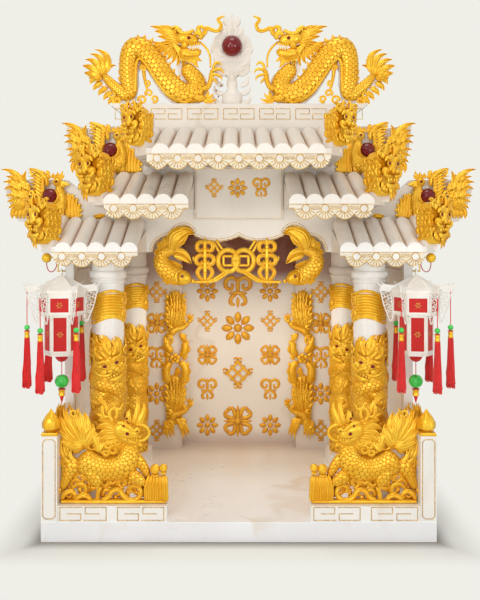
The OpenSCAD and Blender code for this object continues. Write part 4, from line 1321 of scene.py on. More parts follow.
def close_tree(grown, finish):
    """Realizes what the tree has made, gives it its material and sends it out."""
    whole = grown.put("GeometryNodeRealizeInstances", {0: grown})
    looks = whole.put("GeometryNodeSetMaterial", {0: whole, "Material": finish})
    sink = grown.tree.nodes.new("NodeGroupOutput")
    grown.tree.links.new(looks.socket, sink.inputs["Geometry"])


def grow(name, spots, turns, tree, sizes):
    """A plain mesh object of what the tree grows at each spot, in millimetres, turned by each turn."""
    mesh = bpy.data.meshes.new(name + "_spots")
    mesh.from_pydata((np.array(spots, float) * MM).tolist(), [], [])
    mesh.attributes.new("turn", "FLOAT", "POINT").data.foreach_set("value", np.array(turns, np.float32))
    source = show(name + "_spots", mesh)
    modifier = source.modifiers.new("grow", "NODES")
    modifier.node_group = tree
    for item in tree.interface.items_tree:
        if item.in_out == "INPUT" and item.name in sizes:
            modifier[item.identifier] = sizes[item.name]
    seen = source.evaluated_get(bpy.context.evaluated_depsgraph_get())
    made = show(name, bpy.data.meshes.new_from_object(seen))
    bpy.data.objects.remove(source)
    made.data.shade_smooth()
    made.data.set_sharp_from_angle(angle=math.radians(SHARP_DEGREES))
    return made


def roll_tree():
    """One roll at each point: a tube that rises with the slope and tapers to a round upper tip."""
    tree, size = geometry_tree("tile_rolls", {"Length": ("Float", 0.1), "Half Width": ("Float", 0.0132),
        "Height": ("Float", 0.0126), "Foot": ("Float", 0.004), "Slope": ("Float", 0.4),
        "Tip": ("Float", 0.12)})
    start = Value(tree)
    end = start.put("ShaderNodeCombineXYZ", {"Y": size["Length"]})
    line = start.put("GeometryNodeCurvePrimitiveLine", {"End": end})
    fine = line.put("GeometryNodeResampleCurve", {"Curve": line, "Count": 16})
    left = 1 - start.put("GeometryNodeSplineParameter")
    part = (left / size["Tip"]).math("MINIMUM", left / size["Tip"], 1.0)
    round_tip = part.math("SQRT", part * (2 - part) + 0.001)
    circle = start.put("GeometryNodeCurvePrimitiveCircle", {"Resolution": 20, "Radius": 1.0})
    across, up = (start.put("ShaderNodeSeparateXYZ", {0: start.put("GeometryNodeInputPosition")}, out=axis)
        for axis in "XY")
    held = up.math("MINIMUM", up * size["Height"], size["Foot"])
    arch = start.put("ShaderNodeCombineXYZ", {"X": across * size["Half Width"], "Y": held})
    profile = circle.put("GeometryNodeSetPosition", {"Geometry": circle, "Position": arch})
    tube = fine.put("GeometryNodeCurveToMesh", {"Curve": fine, "Profile Curve": profile, "Fill Caps": True,
        "Scale": round_tip})
    spot = start.put("ShaderNodeSeparateXYZ", {0: start.put("GeometryNodeInputPosition")}, out="Y")
    rise = start.put("ShaderNodeCombineXYZ", {"Z": spot * size["Slope"]})
    sheared = tube.put("GeometryNodeSetPosition", {"Geometry": tube, "Offset": rise})
    turn = start.put("GeometryNodeInputNamedAttribute", {"Name": "turn"}, data_type="FLOAT")
    ways = start.put("ShaderNodeCombineXYZ", {"Z": turn})
    rolls = sheared.put("GeometryNodeInstanceOnPoints", {"Points": size["Geometry"], "Instance": sheared,
        "Rotation": ways})
    close_tree(rolls, tile_marble)
    return tree


ROLL_PITCH = 26.5
ROLL_R = ROLL_PITCH / 2
ROLL_END_Y = -95


def tile_rolls(tree, level, node, inner, reach, eaves_z):
    """Rolls from the inner end to the cut corner, where the last one starts further back."""
    low, high = millimetres(node, right=True)
    back = high[1] > 0
    spots, turns = [], []
    count = int((high[0] - inner) / ROLL_PITCH + 0.3)
    first = inner + ROLL_R
    for number in range(count):
        x = first + ROLL_PITCH * number
        shift = 15 if x > high[0] - 19 else -0.5
        for side in (1, -1):
            spots.append((side * x, low[1] + shift, eaves_z + shift * 0.3))
            turns.append(0)
            if back:
                spots.append((side * x, high[1] - shift, eaves_z + shift * 0.3))
                turns.append(math.pi)
    made = grow(f"{level}_tile_rolls", spots, turns, tree, {"Length": (reach - 13) * MM,
        "Half Width": 13.2 * MM, "Height": 12.6 * MM, "Foot": 4 * MM,
        "Slope": (high[2] - low[2] - 10) / reach, "Tip": 15 / reach})
    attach(made, "shrine")


def lace_paint(start):
    """Cream paint that thins to yellow at the edges of the petals."""
    face = relief(start)
    patch = place(start).noise(90.0, 3.0)
    tone = (patch * 0.5 + face * 0.5).ease(0.35, 0.75)
    return {"Base Color": tone.mix((0.76, 0.64, 0.42, 1), (0.86, 0.80, 0.68, 1)),
        "Roughness": patch * 0.3 + 0.35}


petal_lace = material("petal_lace", {}, lace_paint)
CREAM, LINE, WHITE = 0, 1, 2
LACE_R = 16.8
DISC_R = 6.2
DISC_DROP = 5.6
FIRST_PETAL = 184
PETAL_STEP = 21.5


def lace(x0, x1, centres):
    """A board of half rosettes round the centres, from x0 to x1, hanging down from its top edge."""
    c = Carving()
    x = np.arange(x0, x1 + 1, (x1 - x0) / round((x1 - x0) / 1.6))
    gap = np.abs(x[:, None] - np.array(centres)[None]).min(1)
    drop = DISC_DROP + np.sqrt(np.maximum(LACE_R**2 - np.minimum(gap, LACE_R) ** 2, 0))
    drop = np.minimum(drop, 4 + 0.75 * np.minimum(x - x0 + 9, x1 - x + 3))
    rings = np.stack([np.stack([x, 0 * x + y, z], -1)
        for y, z in ((0, 0 * x), (5, 0 * x), (5, -drop), (0, -drop))], 1)
    c.rings(rings, finish=CREAM)
    hem = np.stack([x, -drop + 0.5], -1)
    c.ribbon(hem, 1.2, 0.2, 0.8, finish=LINE)
    for middle in centres:
        c.ball(middle, -DISC_DROP, DISC_R, 0, 0.07, WHITE, 16)
        rim = ring_points(middle, -DISC_DROP, DISC_R, np.linspace(0, 2 * math.pi, 21)[:-1])
        c.ribbon(rim, 1.3, 0.2, 0.9, loop=True, finish=LINE)
        for number in range(9):
            turn = math.radians(FIRST_PETAL + PETAL_STEP * number)
            way = np.array([math.cos(turn), math.sin(turn)])
            if not x0 + 2 < middle + 15 * way[0] < x1 - 2:
                continue
            root = np.array([middle, -DISC_DROP])
            if number < 8:
                petal = math.radians(FIRST_PETAL + PETAL_STEP * (number + 0.5))
                lean = np.array([math.cos(petal), math.sin(petal)])
                c.stroke([(*(root + lean * 7.6), 1.4), (*(root + lean * 11.5), 2.3),
                    (*(root + lean * 14.8), 1.8)], 0.2, 0.4, step=2, front=5, back=1, finish=CREAM)
            c.ribbon([root + way * 7.2, root + way * 14.8], 1.1, 0.2, 0.9, finish=LINE)
    for left, right in zip(centres, centres[1:]):
        for z in (-2.0, -4.4):
            c.ribbon([(left + DISC_R + 1.6, z), (right - DISC_R - 1.6, z)], 0.9, 0.2, 0.7, finish=LINE)
    return c


def roofs():
    tree = roll_tree()
    for level, node, pitch in (("lower", "lower_roofs", 31.4), ("middle", "middle_roofs", 30.0),
            ("top", "top_roof", 31.0)):
        low, high = millimetres(node, right=True)
        inner = 0 if level == "top" else low[0]
        reach = ROLL_END_Y - low[1]
        tile_rolls(tree, level, node, inner, reach, low[2] + 4.9)
        edge = millimetres(f"{level}_lace", right=True)
        if level == "top":
            made = lace(-edge[1][0], edge[1][0], [pitch * number for number in range(-4, 5)])
            made = made.moved(y=edge[0][1], z=edge[1][2])
        else:
            centres = [inner + 26 + pitch * number for number in range(4)]
            made = lace(inner, edge[1][0], centres).pair(y=edge[0][1], z=edge[1][2])
        made.piece(f"{level}_petal_lace", "shrine", "petal_lace", [petal_lace, gold_line, marble],
            f"{level}_lace")
        line = Carving().ribbon([(inner + 1, low[2] + 1.2), (high[0] - 20, low[2] + 1.2)], 0.9, thick=0.8)
        line.pair(y=low[1]).piece(f"{level}_eaves_gold_line", "shrine", "gold_line", [gold_line])


roofs()


# ---- Wings, phoenixes and corner masks ----
# Marble wing boards step out beside the roofs, each with a gilt phoenix in front: a tail like flames, a
# barred wing, and a red orb at the breast. A gilt beast mask with a curled mane sits at each eaves corner.
finish_nodes(marble, "marble", "lower_wing_boards", "middle_wing_boards")


def phoenix():
    """Drawn outwards from its fan, at the inner end of the wing board, over the board's foot."""
    c = Carving()
    feather = {"cut": barbs(4.6), "bite": 1.1}
    # Fan: upright ribs with a scalloped edge
    for x, tall in ((33, 34), (28, 42), (22.5, 45), (17, 41), (12, 35), (7, 27)):
        c.stroke([(x + 1, 1, 2.6), (x, tall * 0.5, 3.2), (x - 1, tall - 4, 3.2), (x - 1.5, tall, 2)], 0,
            0.8, grooves(1), 0.7)
    for x, z in ((3.5, 8), (2.5, 17), (5, 26), (10, 35), (17, 42), (25, 44)):
        c.ball(x, z, 3.4, 1, 0.6)
    # Breast and body with hanging feathers, and the neck up to the head
    c.stroke([(58, 10, 12), (48, 14, 15), (39, 22, 14), (34, 33, 9), (36, 45, 7), (40, 56, 7),
        (43, 63, 7)], 0, 0.7, scales(5.2), 1.1)
    for number in range(7):
        x = 32 + 5 * number
        flame(c, (x, 18), (x - 1, 1), 3.2, 0.1, -5)
        flame(c, (x + 2, 28), (x + 1, 13), 3.0, -0.1, -8)
    for number in range(5):
        flame(c, (35, 40 - 5 * number), (28 - number * 0.4, 51 - 6 * number), 2.8, -0.15, -1)
    # Head: a round disc with the eye, a parted beak, wattle, and a comb that curls over
    c.ball(43.5, 66, 8, -1, 0.75, sides=16)
    eye(c, 43.3, 66.3, 2.8, -7)
    for tip, z, bend in (((20, 62.5), 67, 0.1), ((29, 56), 62, -0.1)):
        flame(c, (39, z), tip, 4.2, bend, -3, None)
    for root, tip, width, bend in (((46, 72), (34, 86), 3.6, 0.2), ((48, 72), (42, 84), 3.4, 0.15),
            ((52, 72), (50, 82), 3.6, 0.1), ((54, 72), (60, 86), 4.0, -0.2),
            ((40, 72), (31, 79), 3.0, 0.2), ((42, 58), (36, 50), 3.0, 0.2)):
        flame(c, root, tip, width, bend, -3)
    volute(c, 61, 80, 4.5, 2.2, start=60, y=-3)
    # Orb in a rim of feathers
    orb_x, orb_z = 56, 42
    c.ball(orb_x, orb_z, 13, -1, 0.72, GLASS, 24)
    rim = ring_points(orb_x, orb_z, 14.5, np.linspace(2.3, 6.0, 9), 2.4)
    c.stroke(rim, -2, 1.0, grooves(1), 0.5)
    turns = np.radians(np.arange(130, 340, 26))
    for root, tip in zip(ring_points(orb_x, orb_z, 14, turns), ring_points(orb_x, orb_z, 22, turns)):
        flame(c, root, tip, 3.0, 0.2, 0)
    # Wing: long barred feathers that slope down from its top edge, under two rows of coverts
    for number in range(8):
        z = 86 - 5.4 * number
        flame(c, (62 + number, z - 14), (94 - number * 0.6, z + 2 - number * 0.5), 4.4, 0.12,
            -1 - 0.5 * (number % 2), **feather)
    c.stroke([(92, 89, 2), (80, 86, 3.4), (68, 80, 4), (61, 70, 4), (60, 58, 3)], -4, 0.9, grooves(2), 0.8)
    for number in range(7):
        flame(c, (64, 80 - 5 * number), (73, 82 - 5.4 * number), 3.0, 0.2, -6)
    for x, z, hand in ((84, 84, 1), (88, 46, -1), (78, 40, 1), (96, 38, 1), (68, 20, 1), (80, 16, -1),
            (92, 20, 1)):
        volute(c, x, z, 5, 2.4, hand=hand, start=x * 3, y=-4)
    # Tail: flames that rise outwards, shorter ones that fill it, and more behind the mask
    for tip, width, bend in (((141, 88), 6, 0.18), ((133, 76), 6, 0.14), ((128, 83), 6, 0.1),
            ((119, 79), 6, 0.06), ((112, 84), 6, 0.0), ((104, 80), 5.5, -0.08), ((97, 86), 5.5, -0.12),
            ((138, 66), 5.5, 0.14), ((136, 54), 5.5, 0.16), ((134, 42), 5.5, 0.16), ((131, 31), 5.5, 0.16),
            ((128, 20), 5.5, 0.14), ((122, 9), 5.5, 0.12)):
        flame(c, (96, 46 - (20 if tip[1] < 50 else 0)), tip, width, bend, -1, grooves(3), 0.9)
    for x, z in ((128, 70), (120, 66), (112, 70), (104, 66), (126, 54), (116, 52), (107, 52)):
        flame(c, (x - 12, z - 18), (x, z), 4.6, 0.2, -5)
        volute(c, x - 9, z - 8, 4.6, 2.2, hand=-1, start=x * 5, y=-6)
    for number in range(9):
        flame(c, (66 + 6.5 * number, 22), (69 + 6.5 * number, 2), 4.4, 0.1, 0)
        flame(c, (70 + 5 * number, 40), (75 + 5.4 * number, 22), 4.4, 0.1, -2)
    return c


def corner_mask():
    """A beast's face towards local front, drawn about the middle of its foot, on a thick block of curls."""
    c = Carving()
    outline = [(-14, 4), (-19, 16), (-22, 32), (-23, 48), (-20, 62), (-12, 71), (0, 75), (12, 71),
        (20, 62), (23, 48), (22, 32), (19, 16), (14, 4), (6, 0), (-6, 0)]
    c.plate([(x * 0.93, z * 0.97 + 1) for x, z in outline], -5, 24, 3)
    # Curls over the block's sides, in rows from the face to the back, and round the face
    _, rim = spline(outline[1:-3], 10)
    for number, (x, z) in enumerate(rim):
        volute(c, x * 0.95, z + 1, 5.4, 2.8, hand=1 - 2 * (number % 2), turns=1.0, start=47 * number, y=-6)
        for row, y in enumerate((3, 12, 21)):
            if 12 < z < 64:
                curl = Carving()
                volute(curl, 0, 0, 6, 3.4, hand=1 - 2 * ((number + row) % 2), turns=1.1,
                    start=67 * number + 100 * row)
                c += curl.moved(x * 0.92, y, z, turn=math.copysign(math.pi / 2, x))
    for tip in ((30, 26), (35, 14), (34, 3), (28, -6), (20, -8)):
        flame(c, (13, 28), tip, 5, 0.15, 9, grooves(2), 0.8)
    return c + mask_face().moved(size=1.14, z=1)


def mask_face():
    """Mane locks beside the cheeks, ears, brows, eyes, nostrils, moustache, fangs, horns and beard."""
    c = Carving()
    for side in (1, -1):
        for number, (x, z) in enumerate(((24, 64), (27, 54), (28, 43), (27, 32), (25, 21), (21, 11))):
            flame(c, (side * 12, z - 6), (side * x, z + 2), 4.6, 0.25 * side, -4, grooves(2), 0.8)
        volute(c, side * 17, 60, 6, 2.8, hand=side, start=30, y=-10)
        flame(c, (side * 13, 50), (side * 21, 58), 4.2, 0.2 * side, -10, None)
        c.stroke([(side * 1.5, 46, 2.6), (side * 6, 51, 3.6), (side * 12, 51, 3.2), (side * 16, 46, 1.6)],
            -15, 0.9, hoops(2.8), 0.5)
        eye(c, side * 8, 44, 3.0, -15)
        c.ball(side * 9.5, 34, 6.4, -10, 0.9, sides=12)
        c.ball(side * 3.6, 33, 3.0, -19, 0.8)
        c.stroke([(side * 3, 28, 2.2), (side * 9, 26, 2.8), (side * 15, 29, 2.4), (side * 17, 35, 1.4)],
            -14, 0.9)
        flame(c, (side * 7, 25), (side * 7.5, 17), 2.0, 0.1 * side, -14, None)
        flame(c, (side * 3, 25), (side * 3, 19), 1.8, 0, -14, None)
        c.stroke([(side * 6, 54, 3), (side * 9, 64, 3), (side * 5, 73, 1.4)], -9, 0.9, hoops(3), 0.5)
        for x, z in ((4, 12), (9, 13), (13, 16)):
            flame(c, (side * x * 0.8, z + 4), (side * x, z - 9), 3.2, 0.15 * side, -8)
    c.stroke([(0, 58, 5), (0, 48, 6.5), (0, 40, 6.5), (0, 34, 7.5), (0, 30, 5)], -11, 0.9)
    c.stroke([(-9, 17, 2.6), (-5, 13, 3.6), (0, 12, 4), (5, 13, 3.6), (9, 17, 2.6)], -11, 0.9)
    flame(c, (0, 14), (0, 0), 4.0, 0.05, -10)
    return c


def board_leaf():
    """A small gilt leaf on each lower wing board, beside the middle roof."""
    c = Carving()
    for number in range(5):
        flame(c, (-10 + 4 * number, 4), (-4 + 3.6 * number, 9 - abs(number - 1.5) * 1.5), 2.6, 0.2, -1)
    c.stroke([(-12, 2, 1), (-4, 4, 4), (6, 3, 3.4), (13, 0, 0.8)], 0, 0.7, grooves(2), 0.6)
    return c


def wing_lines():
    """A thin gold line along each board's foot; the middle one curls up at its inner end."""
    c = Carving()
    for name, rise in (("lower_wing_boards", 0), ("middle_wing_boards", 7)):
        low, high = millimetres(name, right=True)
        inner = 80 if rise else 217
        line = [(inner, rise), (inner + 8, 1.5), (inner + 16, 1.5), (high[0] - 60, 1.5)]
        c += Carving().ribbon([(x, z + low[2]) for x, z in line], 0.9, thick=0.4).pair(y=low[1])
    return c


def wings():
    for level in ("lower", "middle"):
        low, high = millimetres(f"{level}_phoenixes", right=True)
        bird = phoenix().pair(high[0] - 139, high[1] - 5, low[2])
        bird.piece(f"{level}_gilt_phoenixes", "shrine", "gilt", [gilt, red_glass], f"{level}_phoenixes")
    for level, size in (("lower", 0.94), ("middle", 0.97), ("top", 0.82)):
        low, high = millimetres(f"{level}_corner_masks", right=True)
        middle = (low + high) / 2
        mask = corner_mask().moved(turn=0.6, size=size).pair(middle[0] - 2, middle[1], low[2] + 2)
        mask.piece(f"{level}_beast_masks", "shrine", "gilt", [gilt, red_glass], f"{level}_corner_masks")
    board = millimetres("lower_wing_boards", right=True)[0]
    board_leaf().pair(244, board[1], board[2] + 6).piece("board_leaves", "shrine", "gilt", [gilt])
    wing_lines().piece("wing_gold_lines", "shrine", "gold_line", [gold_line])
    low, high = millimetres("corner_drops", right=True)
    drop = turned([(0.6, 0), (5.4, 2), (7.6, 6.5), (7.8, 9.5), (5.6, 13.5), (2.4, 15.6)], 28, 1.2, 8, 0.06)
    drop.pair((low[0] + high[0]) / 2, (low[1] + high[1]) / 2, low[2]).piece("corner_drop_buds", "shrine",
        "gilt", [gilt], "corner_drops")


wings()


# ---- Ridge ----
# A marble ridge block with frets, and on it a pierced white board with two gilt dragons that arch up to a
# red pearl. The board behind the pearl is carved as soft white flames, with a gourd under the pearl.
finish_nodes(marble, "marble", "ridge_block", "ridge_backing", "flame_board")
finish_nodes(red_glass, "red_glass", "pearl")


def ridge_dragon():
    """Drawn outwards from the middle, with heights over the ridge."""
    c = Carving()
    body = [(238, 55, 6), (226, 41, 8.5), (211, 28, 10), (199, 20, 12), (192, 27, 14), (194, 45, 15.2),
        (195, 66, 15.6), (194, 86, 16), (186, 101, 18), (172, 101, 20), (158, 89, 18.8), (141, 66, 18.8),
        (125, 43, 18.8), (110, 28, 20), (92, 20, 19), (76, 30, 18), (76, 46, 16), (87, 60, 14),
        (97, 72, 13)]
    c.stroke(body, 0, 0.62, scales(7.8), 1.4)
    # Tail: a fan of long curved locks, short ones over it and dark fins under it
    for tip, width, bend in (((253, 99), 7, 0.34), ((262, 91), 7, 0.28), ((270, 81), 7, 0.2),
            ((275, 70), 7, 0.1), ((272, 58), 7, 0.0), ((264, 49), 6.5, -0.08), ((244, 82), 6.5, 0.1),
            ((233, 84), 6, -0.05), ((223, 81), 5.5, -0.14), ((216, 71), 5, -0.16)):
        flame(c, (240, 52), tip, width, bend, -2, grooves(3), 1.0)
    for tip in ((262, 38), (256, 27), (247, 18), (238, 10), (230, 2), (222, 2)):
        flame(c, (tip[0] - 16, tip[1] + 14), tip, 5.4, 0.15, 1)
    # Fins: up the outer side, over the crest, and down the back to the mane
    fins = [((206, 30), (215, 36)), ((208, 42), (214, 50)), ((209, 54), (213, 63)), ((209, 66), (212, 76)),
        ((208, 78), (211, 89)), ((206, 90), (208, 101)), ((200, 101), (202, 112)),
        ((192, 110), (192, 121)), ((182, 115), (179, 126)), ((172, 117), (166, 126)),
        ((162, 112), (152, 121)), ((153, 103), (143, 112)), ((146, 92), (136, 101)),
        ((139, 81), (129, 90)), ((132, 70), (121, 79)), ((125, 59), (113, 67)), ((117, 49), (104, 56))]
    for root, tip in fins:
        flame(c, root, tip, 4.0, 0.25, 1)
    # Belly plates along the inner side of the arch
    c.stroke([(182, 22, 3), (181, 50, 3.4), (180, 72, 3.4), (174, 82, 3), (163, 72, 3), (146, 46, 3),
        (128, 22, 3), (106, 9, 3), (88, 4, 3)], -5, 0.9, hoops(4.2), 0.8)
    # Mane: long locks up and outwards from the skull, and a fringe behind the jaw
    for tip, width, bend in (((156, 139), 5.6, 0.08), ((149, 131), 5.6, 0.05), ((142, 140), 5.4, 0.1),
            ((131, 141), 5.2, 0.1), ((143, 122), 5.4, 0.0), ((136, 112), 5.2, -0.06),
            ((129, 103), 5, -0.1), ((122, 134), 4.6, 0.12)):
        flame(c, (104, 116), tip, width, bend, -3, grooves(3), 0.9)
    for tip in ((152, 114), (149, 104), (143, 95), (136, 87), (128, 80), (119, 74), (110, 70), (100, 67)):
        flame(c, (tip[0] * 0.4 + 66, 108), tip, 5.2, -0.12, -1, grooves(3), 0.9)
    for number in range(7):
        flame(c, (118 - 2.4 * number, 109 - 1.8 * number), (104 - 3.6 * number, 76 - number * 0.8), 3.8,
            -0.16, -5)
    # Head: skull, brow, cheek, upper and lower jaw, nose
    c.stroke([(110, 116, 9), (98, 118, 12), (88, 116, 12), (78, 115, 9), (70, 118, 7)], -4, 0.75)
    c.stroke([(104, 98, 9), (94, 91, 11), (82, 89, 9), (72, 93, 6.5), (66, 97, 4)], -4, 0.75, grooves(2),
        0.8)
    c.stroke([(112, 134, 1), (104, 128, 3.4), (96, 124, 4), (86, 126, 3.8), (78, 131, 3)], -11, 0.9,
        hoops(3.4), 0.6, step=1.5)
    c.stroke([(80, 122, 4), (72, 126, 5), (66, 122, 5), (64, 115, 4)], -8, 0.9)
    c.ball(95, 104, 6.5, -8, 0.8, sides=14)
    c.ball(66, 117, 4.4, -12, 0.8)
    eye(c, 87, 116, 3.4, -12)
    for number in range(5):
        flame(c, (86 - 4 * number, 108 + 0.6 * number), (85 - 4 * number, 100.5 + 0.6 * number), 1.9, 0,
            -9, None)
    for number in range(4):
        flame(c, (83 - 4 * number, 96), (82.5 - 4 * number, 101.5), 1.6, 0, -9, None)
    for tip, width in (((70, 66), 4), ((77, 70), 4), ((64, 78), 3.4), ((86, 72), 4)):
        flame(c, (76, 88), tip, width, 0.15, -5)
    for points in ([(110, 126, 2.6), (113, 134, 1.2)], [(100, 129, 3.4), (110, 137, 3), (120, 135, 1)]):
        c.stroke(points, -6, 0.9)
    # Snout that curls up to the flame, whisker, fore claws at the pearl and a paw on the ridge
    c.stroke([(68, 120, 4.2), (60, 128, 4.6), (57, 136, 4.2), (50, 134, 3.6), (41, 131, 3.4),
        (34, 133, 3.4), (31, 142, 3.2), (37, 151, 2.8), (31, 155, 2.2), (24, 158, 0.6)], -3, 0.8,
        grooves(1), 0.5)
    c.stroke([(66, 128, 3.6), (72, 134, 4), (66, 138, 3.4), (59, 133, 2.4)], -5, 0.9)
    c.stroke([(70, 113, 1.8), (60, 104, 2), (53, 94, 2), (50, 82, 1.8), (50, 66, 1.6)], -3, 0.9)
    c.stroke([(66, 30, 6), (56, 31, 5), (50, 42, 4.6), (48, 54, 4.6), (46, 64, 3.6)], -3, 0.8, scales(4.4),
        0.8)
    for points in ([(46, 62, 2.6), (42, 73, 2.6), (35, 75, 2.2), (30, 69, 0.6)],
            [(47, 60, 2.6), (36, 64, 2.6), (29, 61, 1.8), (27, 55, 0.6)],
            [(48, 55, 2.6), (38, 53, 2.6), (31, 49, 1.8), (30, 43, 0.6)],
            [(49, 50, 2.4), (42, 44, 2.4), (38, 38, 0.6)]):
        c.stroke(points, -5, 0.9)
    c.stroke([(80, 14, 8), (68, 12, 7), (58, 14, 6)], -3, 0.8, scales(4.6), 0.8)
    for tip in ((55, 27), (45, 22), (38, 13), (40, 4), (50, 2)):
        flame(c, (60, 13), tip, 3.4, 0.2, -4)
    # Curls that hang under the arch, and clouds at the foot of the outer coil
    c.stroke([(172, 78, 2), (168, 64, 3.4), (166, 50, 3), (163, 36, 2.6), (160, 24, 1.6)], 0, 0.9,
        grooves(2), 0.7)
    for x, z, r, hand in ((168, 66, 5, 1), (161, 40, 4.6, -1), (158, 22, 6, 1), (149, 12, 6, -1),
            (170, 10, 7, 1), (214, 10, 7, -1), (224, 20, 6, 1)):
        volute(c, x, z, r, 2.6, hand=hand, start=x * 2, y=-1)
    return c


def ridge_pearl():
    """Soft flames on the white board and a gourd in front of it, under the pearl."""
    c = Carving()
    middle = -12
    for number in range(6):
        for side in (1, -1):
            z = 64 + 17 * number
            reach = (29, 30, 27, 22, 16, 9)[number]
            flame(c, (middle + side * reach * 0.35, z - 8), (middle + side * reach, z + 10), 5.4,
                -0.25 * side, 0, grooves(1), 0.8)
    flame(c, (middle, 118), (middle + 1, 161), 7, 0.1, 0, grooves(1), 0.8)
    for side in (1, -1):
        for z, reach in ((30, 30), (44, 26), (14, 32)):
            flame(c, (middle + side * 14, z - 8), (middle + side * reach, z + 8), 4.6, -0.3 * side, 0,
                grooves(1), 0.8)
        for x, z in ((19, 36), (28, 27), (24, 16)):
            if side > 0:
                c.ball(middle - x, z, 1.5, -3, 0.8, finish=GLASS)
            c.ball(middle + side * (x + 6), z + 34, 1.4, -1, 0.8)
    gourd = turned([(5, 0), (15, 3), (18, 12), (16, 21), (9, 29), (7.6, 34), (9.4, 41), (7, 48), (3.4, 54),
        (2.4, 62)], 36, 1.8)
    for verts, faces, marks, finish in gourd.shells:
        c.shells.append((verts * (1, 0.5, 1) + (middle, -2, 0), faces, marks, finish))
    return c


def ridge():
    low, high = millimetres("ridge_block")
    board = millimetres("ridge_backing")[0]
    ridge_dragon().pair(y=board[1] - 2, z=high[2]).piece("arched_dragons", "shrine", "gilt",
        [gilt, red_glass], "ridge_dragons")
    ridge_pearl().moved(y=board[1] + 1, z=high[2]).piece("white_flames_and_gourd", "shrine", "marble",
        [marble, red_glass])
    frets = Carving()
    for number in range(7):
        middle = 62.4 * (number - 3)
        frets += fret_pairs(middle - 27.2, middle + 27.2, high[2] - 27, high[2] - 9, 1, 0)
    foot = Carving().ribbon([(low[0] + 6, low[2] + 1.5), (high[0] - 6, low[2] + 1.5)], 1.0, thick=0.4)
    (frets + foot).moved(y=low[1]).piece("ridge_gold_lines", "shrine", "gold_line", [gold_line])


ridge()


# ---- Hanging lanterns ----
# Six-sided lanterns of white plastic with pierced wings at the corners and plain red cloth behind their
# frames. Cords with green beads and silk tassels hang from the corners, and a bigger bead from the middle.
def cloth_paint(start):
    """Scarlet cloth with a fine weave."""
    weave = place(start).noise(900.0, 2.0)
    return {"Base Color": weave.ease(0.3, 0.7).mix((0.50, 0.004, 0.003, 1), (0.68, 0.008, 0.006, 1)),
        "Roughness": weave * 0.3 + 0.55, "Normal": weave.bump(0.4, 0.0003)}


def silk_paint(start):
    """Bright red silk that pales where the threads fray."""
    long_way = start.vector("MULTIPLY", place(start), (1, 1, 0.05))
    strand = long_way.noise(1400.0, 2.0)
    return {"Base Color": strand.ease(0.35, 0.65).mix((0.62, 0.003, 0.003, 1), (0.88, 0.010, 0.008, 1)),
        "Roughness": strand * 0.3 + 0.4}


lantern_frame = patchy("lantern_frame", {"Specular IOR Level": 0.5}, (60.0, 3.0),
    ((0.88, 0.84, 0.77, 1), (0.94, 0.92, 0.88, 1)), 0.28, 0.2)
lantern_panel = material("lantern_panel", {"Sheen Weight": 0.2}, cloth_paint)
red_silk = material("red_silk", {"Sheen Weight": 0.3}, silk_paint)
green_bead = patchy("green_bead", {"Coat Weight": 0.5, "Coat Roughness": 0.05}, (120.0, 3.0),
    ((0.010, 0.48, 0.030, 1), (0.06, 0.80, 0.12, 1)), 0.08, 0.1)
hook_wire = patchy("hook_wire", {"Metallic": 0.9}, (300.0, 2.0),
    ((0.42, 0.26, 0.07, 1), (0.78, 0.56, 0.20, 1)), 0.22, 0.3, None)
finish_nodes(hook_wire, "hook_wire", "lantern_hooks")
finish_nodes(lantern_frame, "lantern_frame", "left_lantern", "right_lantern")

lantern_low, lantern_high = millimetres("right_lantern")
ring_low, ring_high = millimetres("lantern_hooks", right=True)
AXIS_Y = (ring_low[1] + ring_high[1]) / 2
AXIS_X = (lantern_low[0] + lantern_high[0]) / 2
BODY_FOOT = lantern_low[2]
EAVES = BODY_FOOT + 104
CROWN_R = 36
BODY_R = 27
LANTERN_TURN = math.radians(8)
FRAME, CLOTH, GILT_MARK = 0, 1, 2


def framed_face(x0, x1, z0, z1, rim):
    """A red cloth in a white frame with a scalloped lace edge under it and a small gold flower on it."""
    c = Carving()
    c.ribbon([(x0, (z0 + z1) / 2), (x1, (z0 + z1) / 2)], z1 - z0, 0.2, 0.5, finish=CLOTH)
    c.ribbon([(x0 - rim / 2, z0 - rim / 2), (x1 + rim / 2, z0 - rim / 2), (x1 + rim / 2, z1 + rim / 2),
        (x0 - rim / 2, z1 + rim / 2)], rim, 0.3, 1.4, loop=True, finish=FRAME)
    middle = ((x0 + x1) / 2, (z0 + z1) / 2)
    for turn in np.radians(np.arange(0, 360, 60)):
        way = np.array([math.cos(turn), math.sin(turn)])
        c.stroke([(*(way * 1.2 + middle), 0.4), (*(way * 3.4 + middle), 0.9),
            (*(way * 5.2 + middle), 0.2)], -0.3, 0.3, step=1.4, front=5, back=1, finish=GILT_MARK)
    count = 5
    for number in range(count):
        x = x0 + (x1 - x0) * (number + 0.5) / count
        r = (x1 - x0) / count * 0.5
        ring = ring_points(x, z0 - rim - r * 0.5, r, np.linspace(0, 5.24, 6))
        c.ribbon(ring, 0.9, 0.2, 1.0, loop=True, finish=FRAME)
    return c


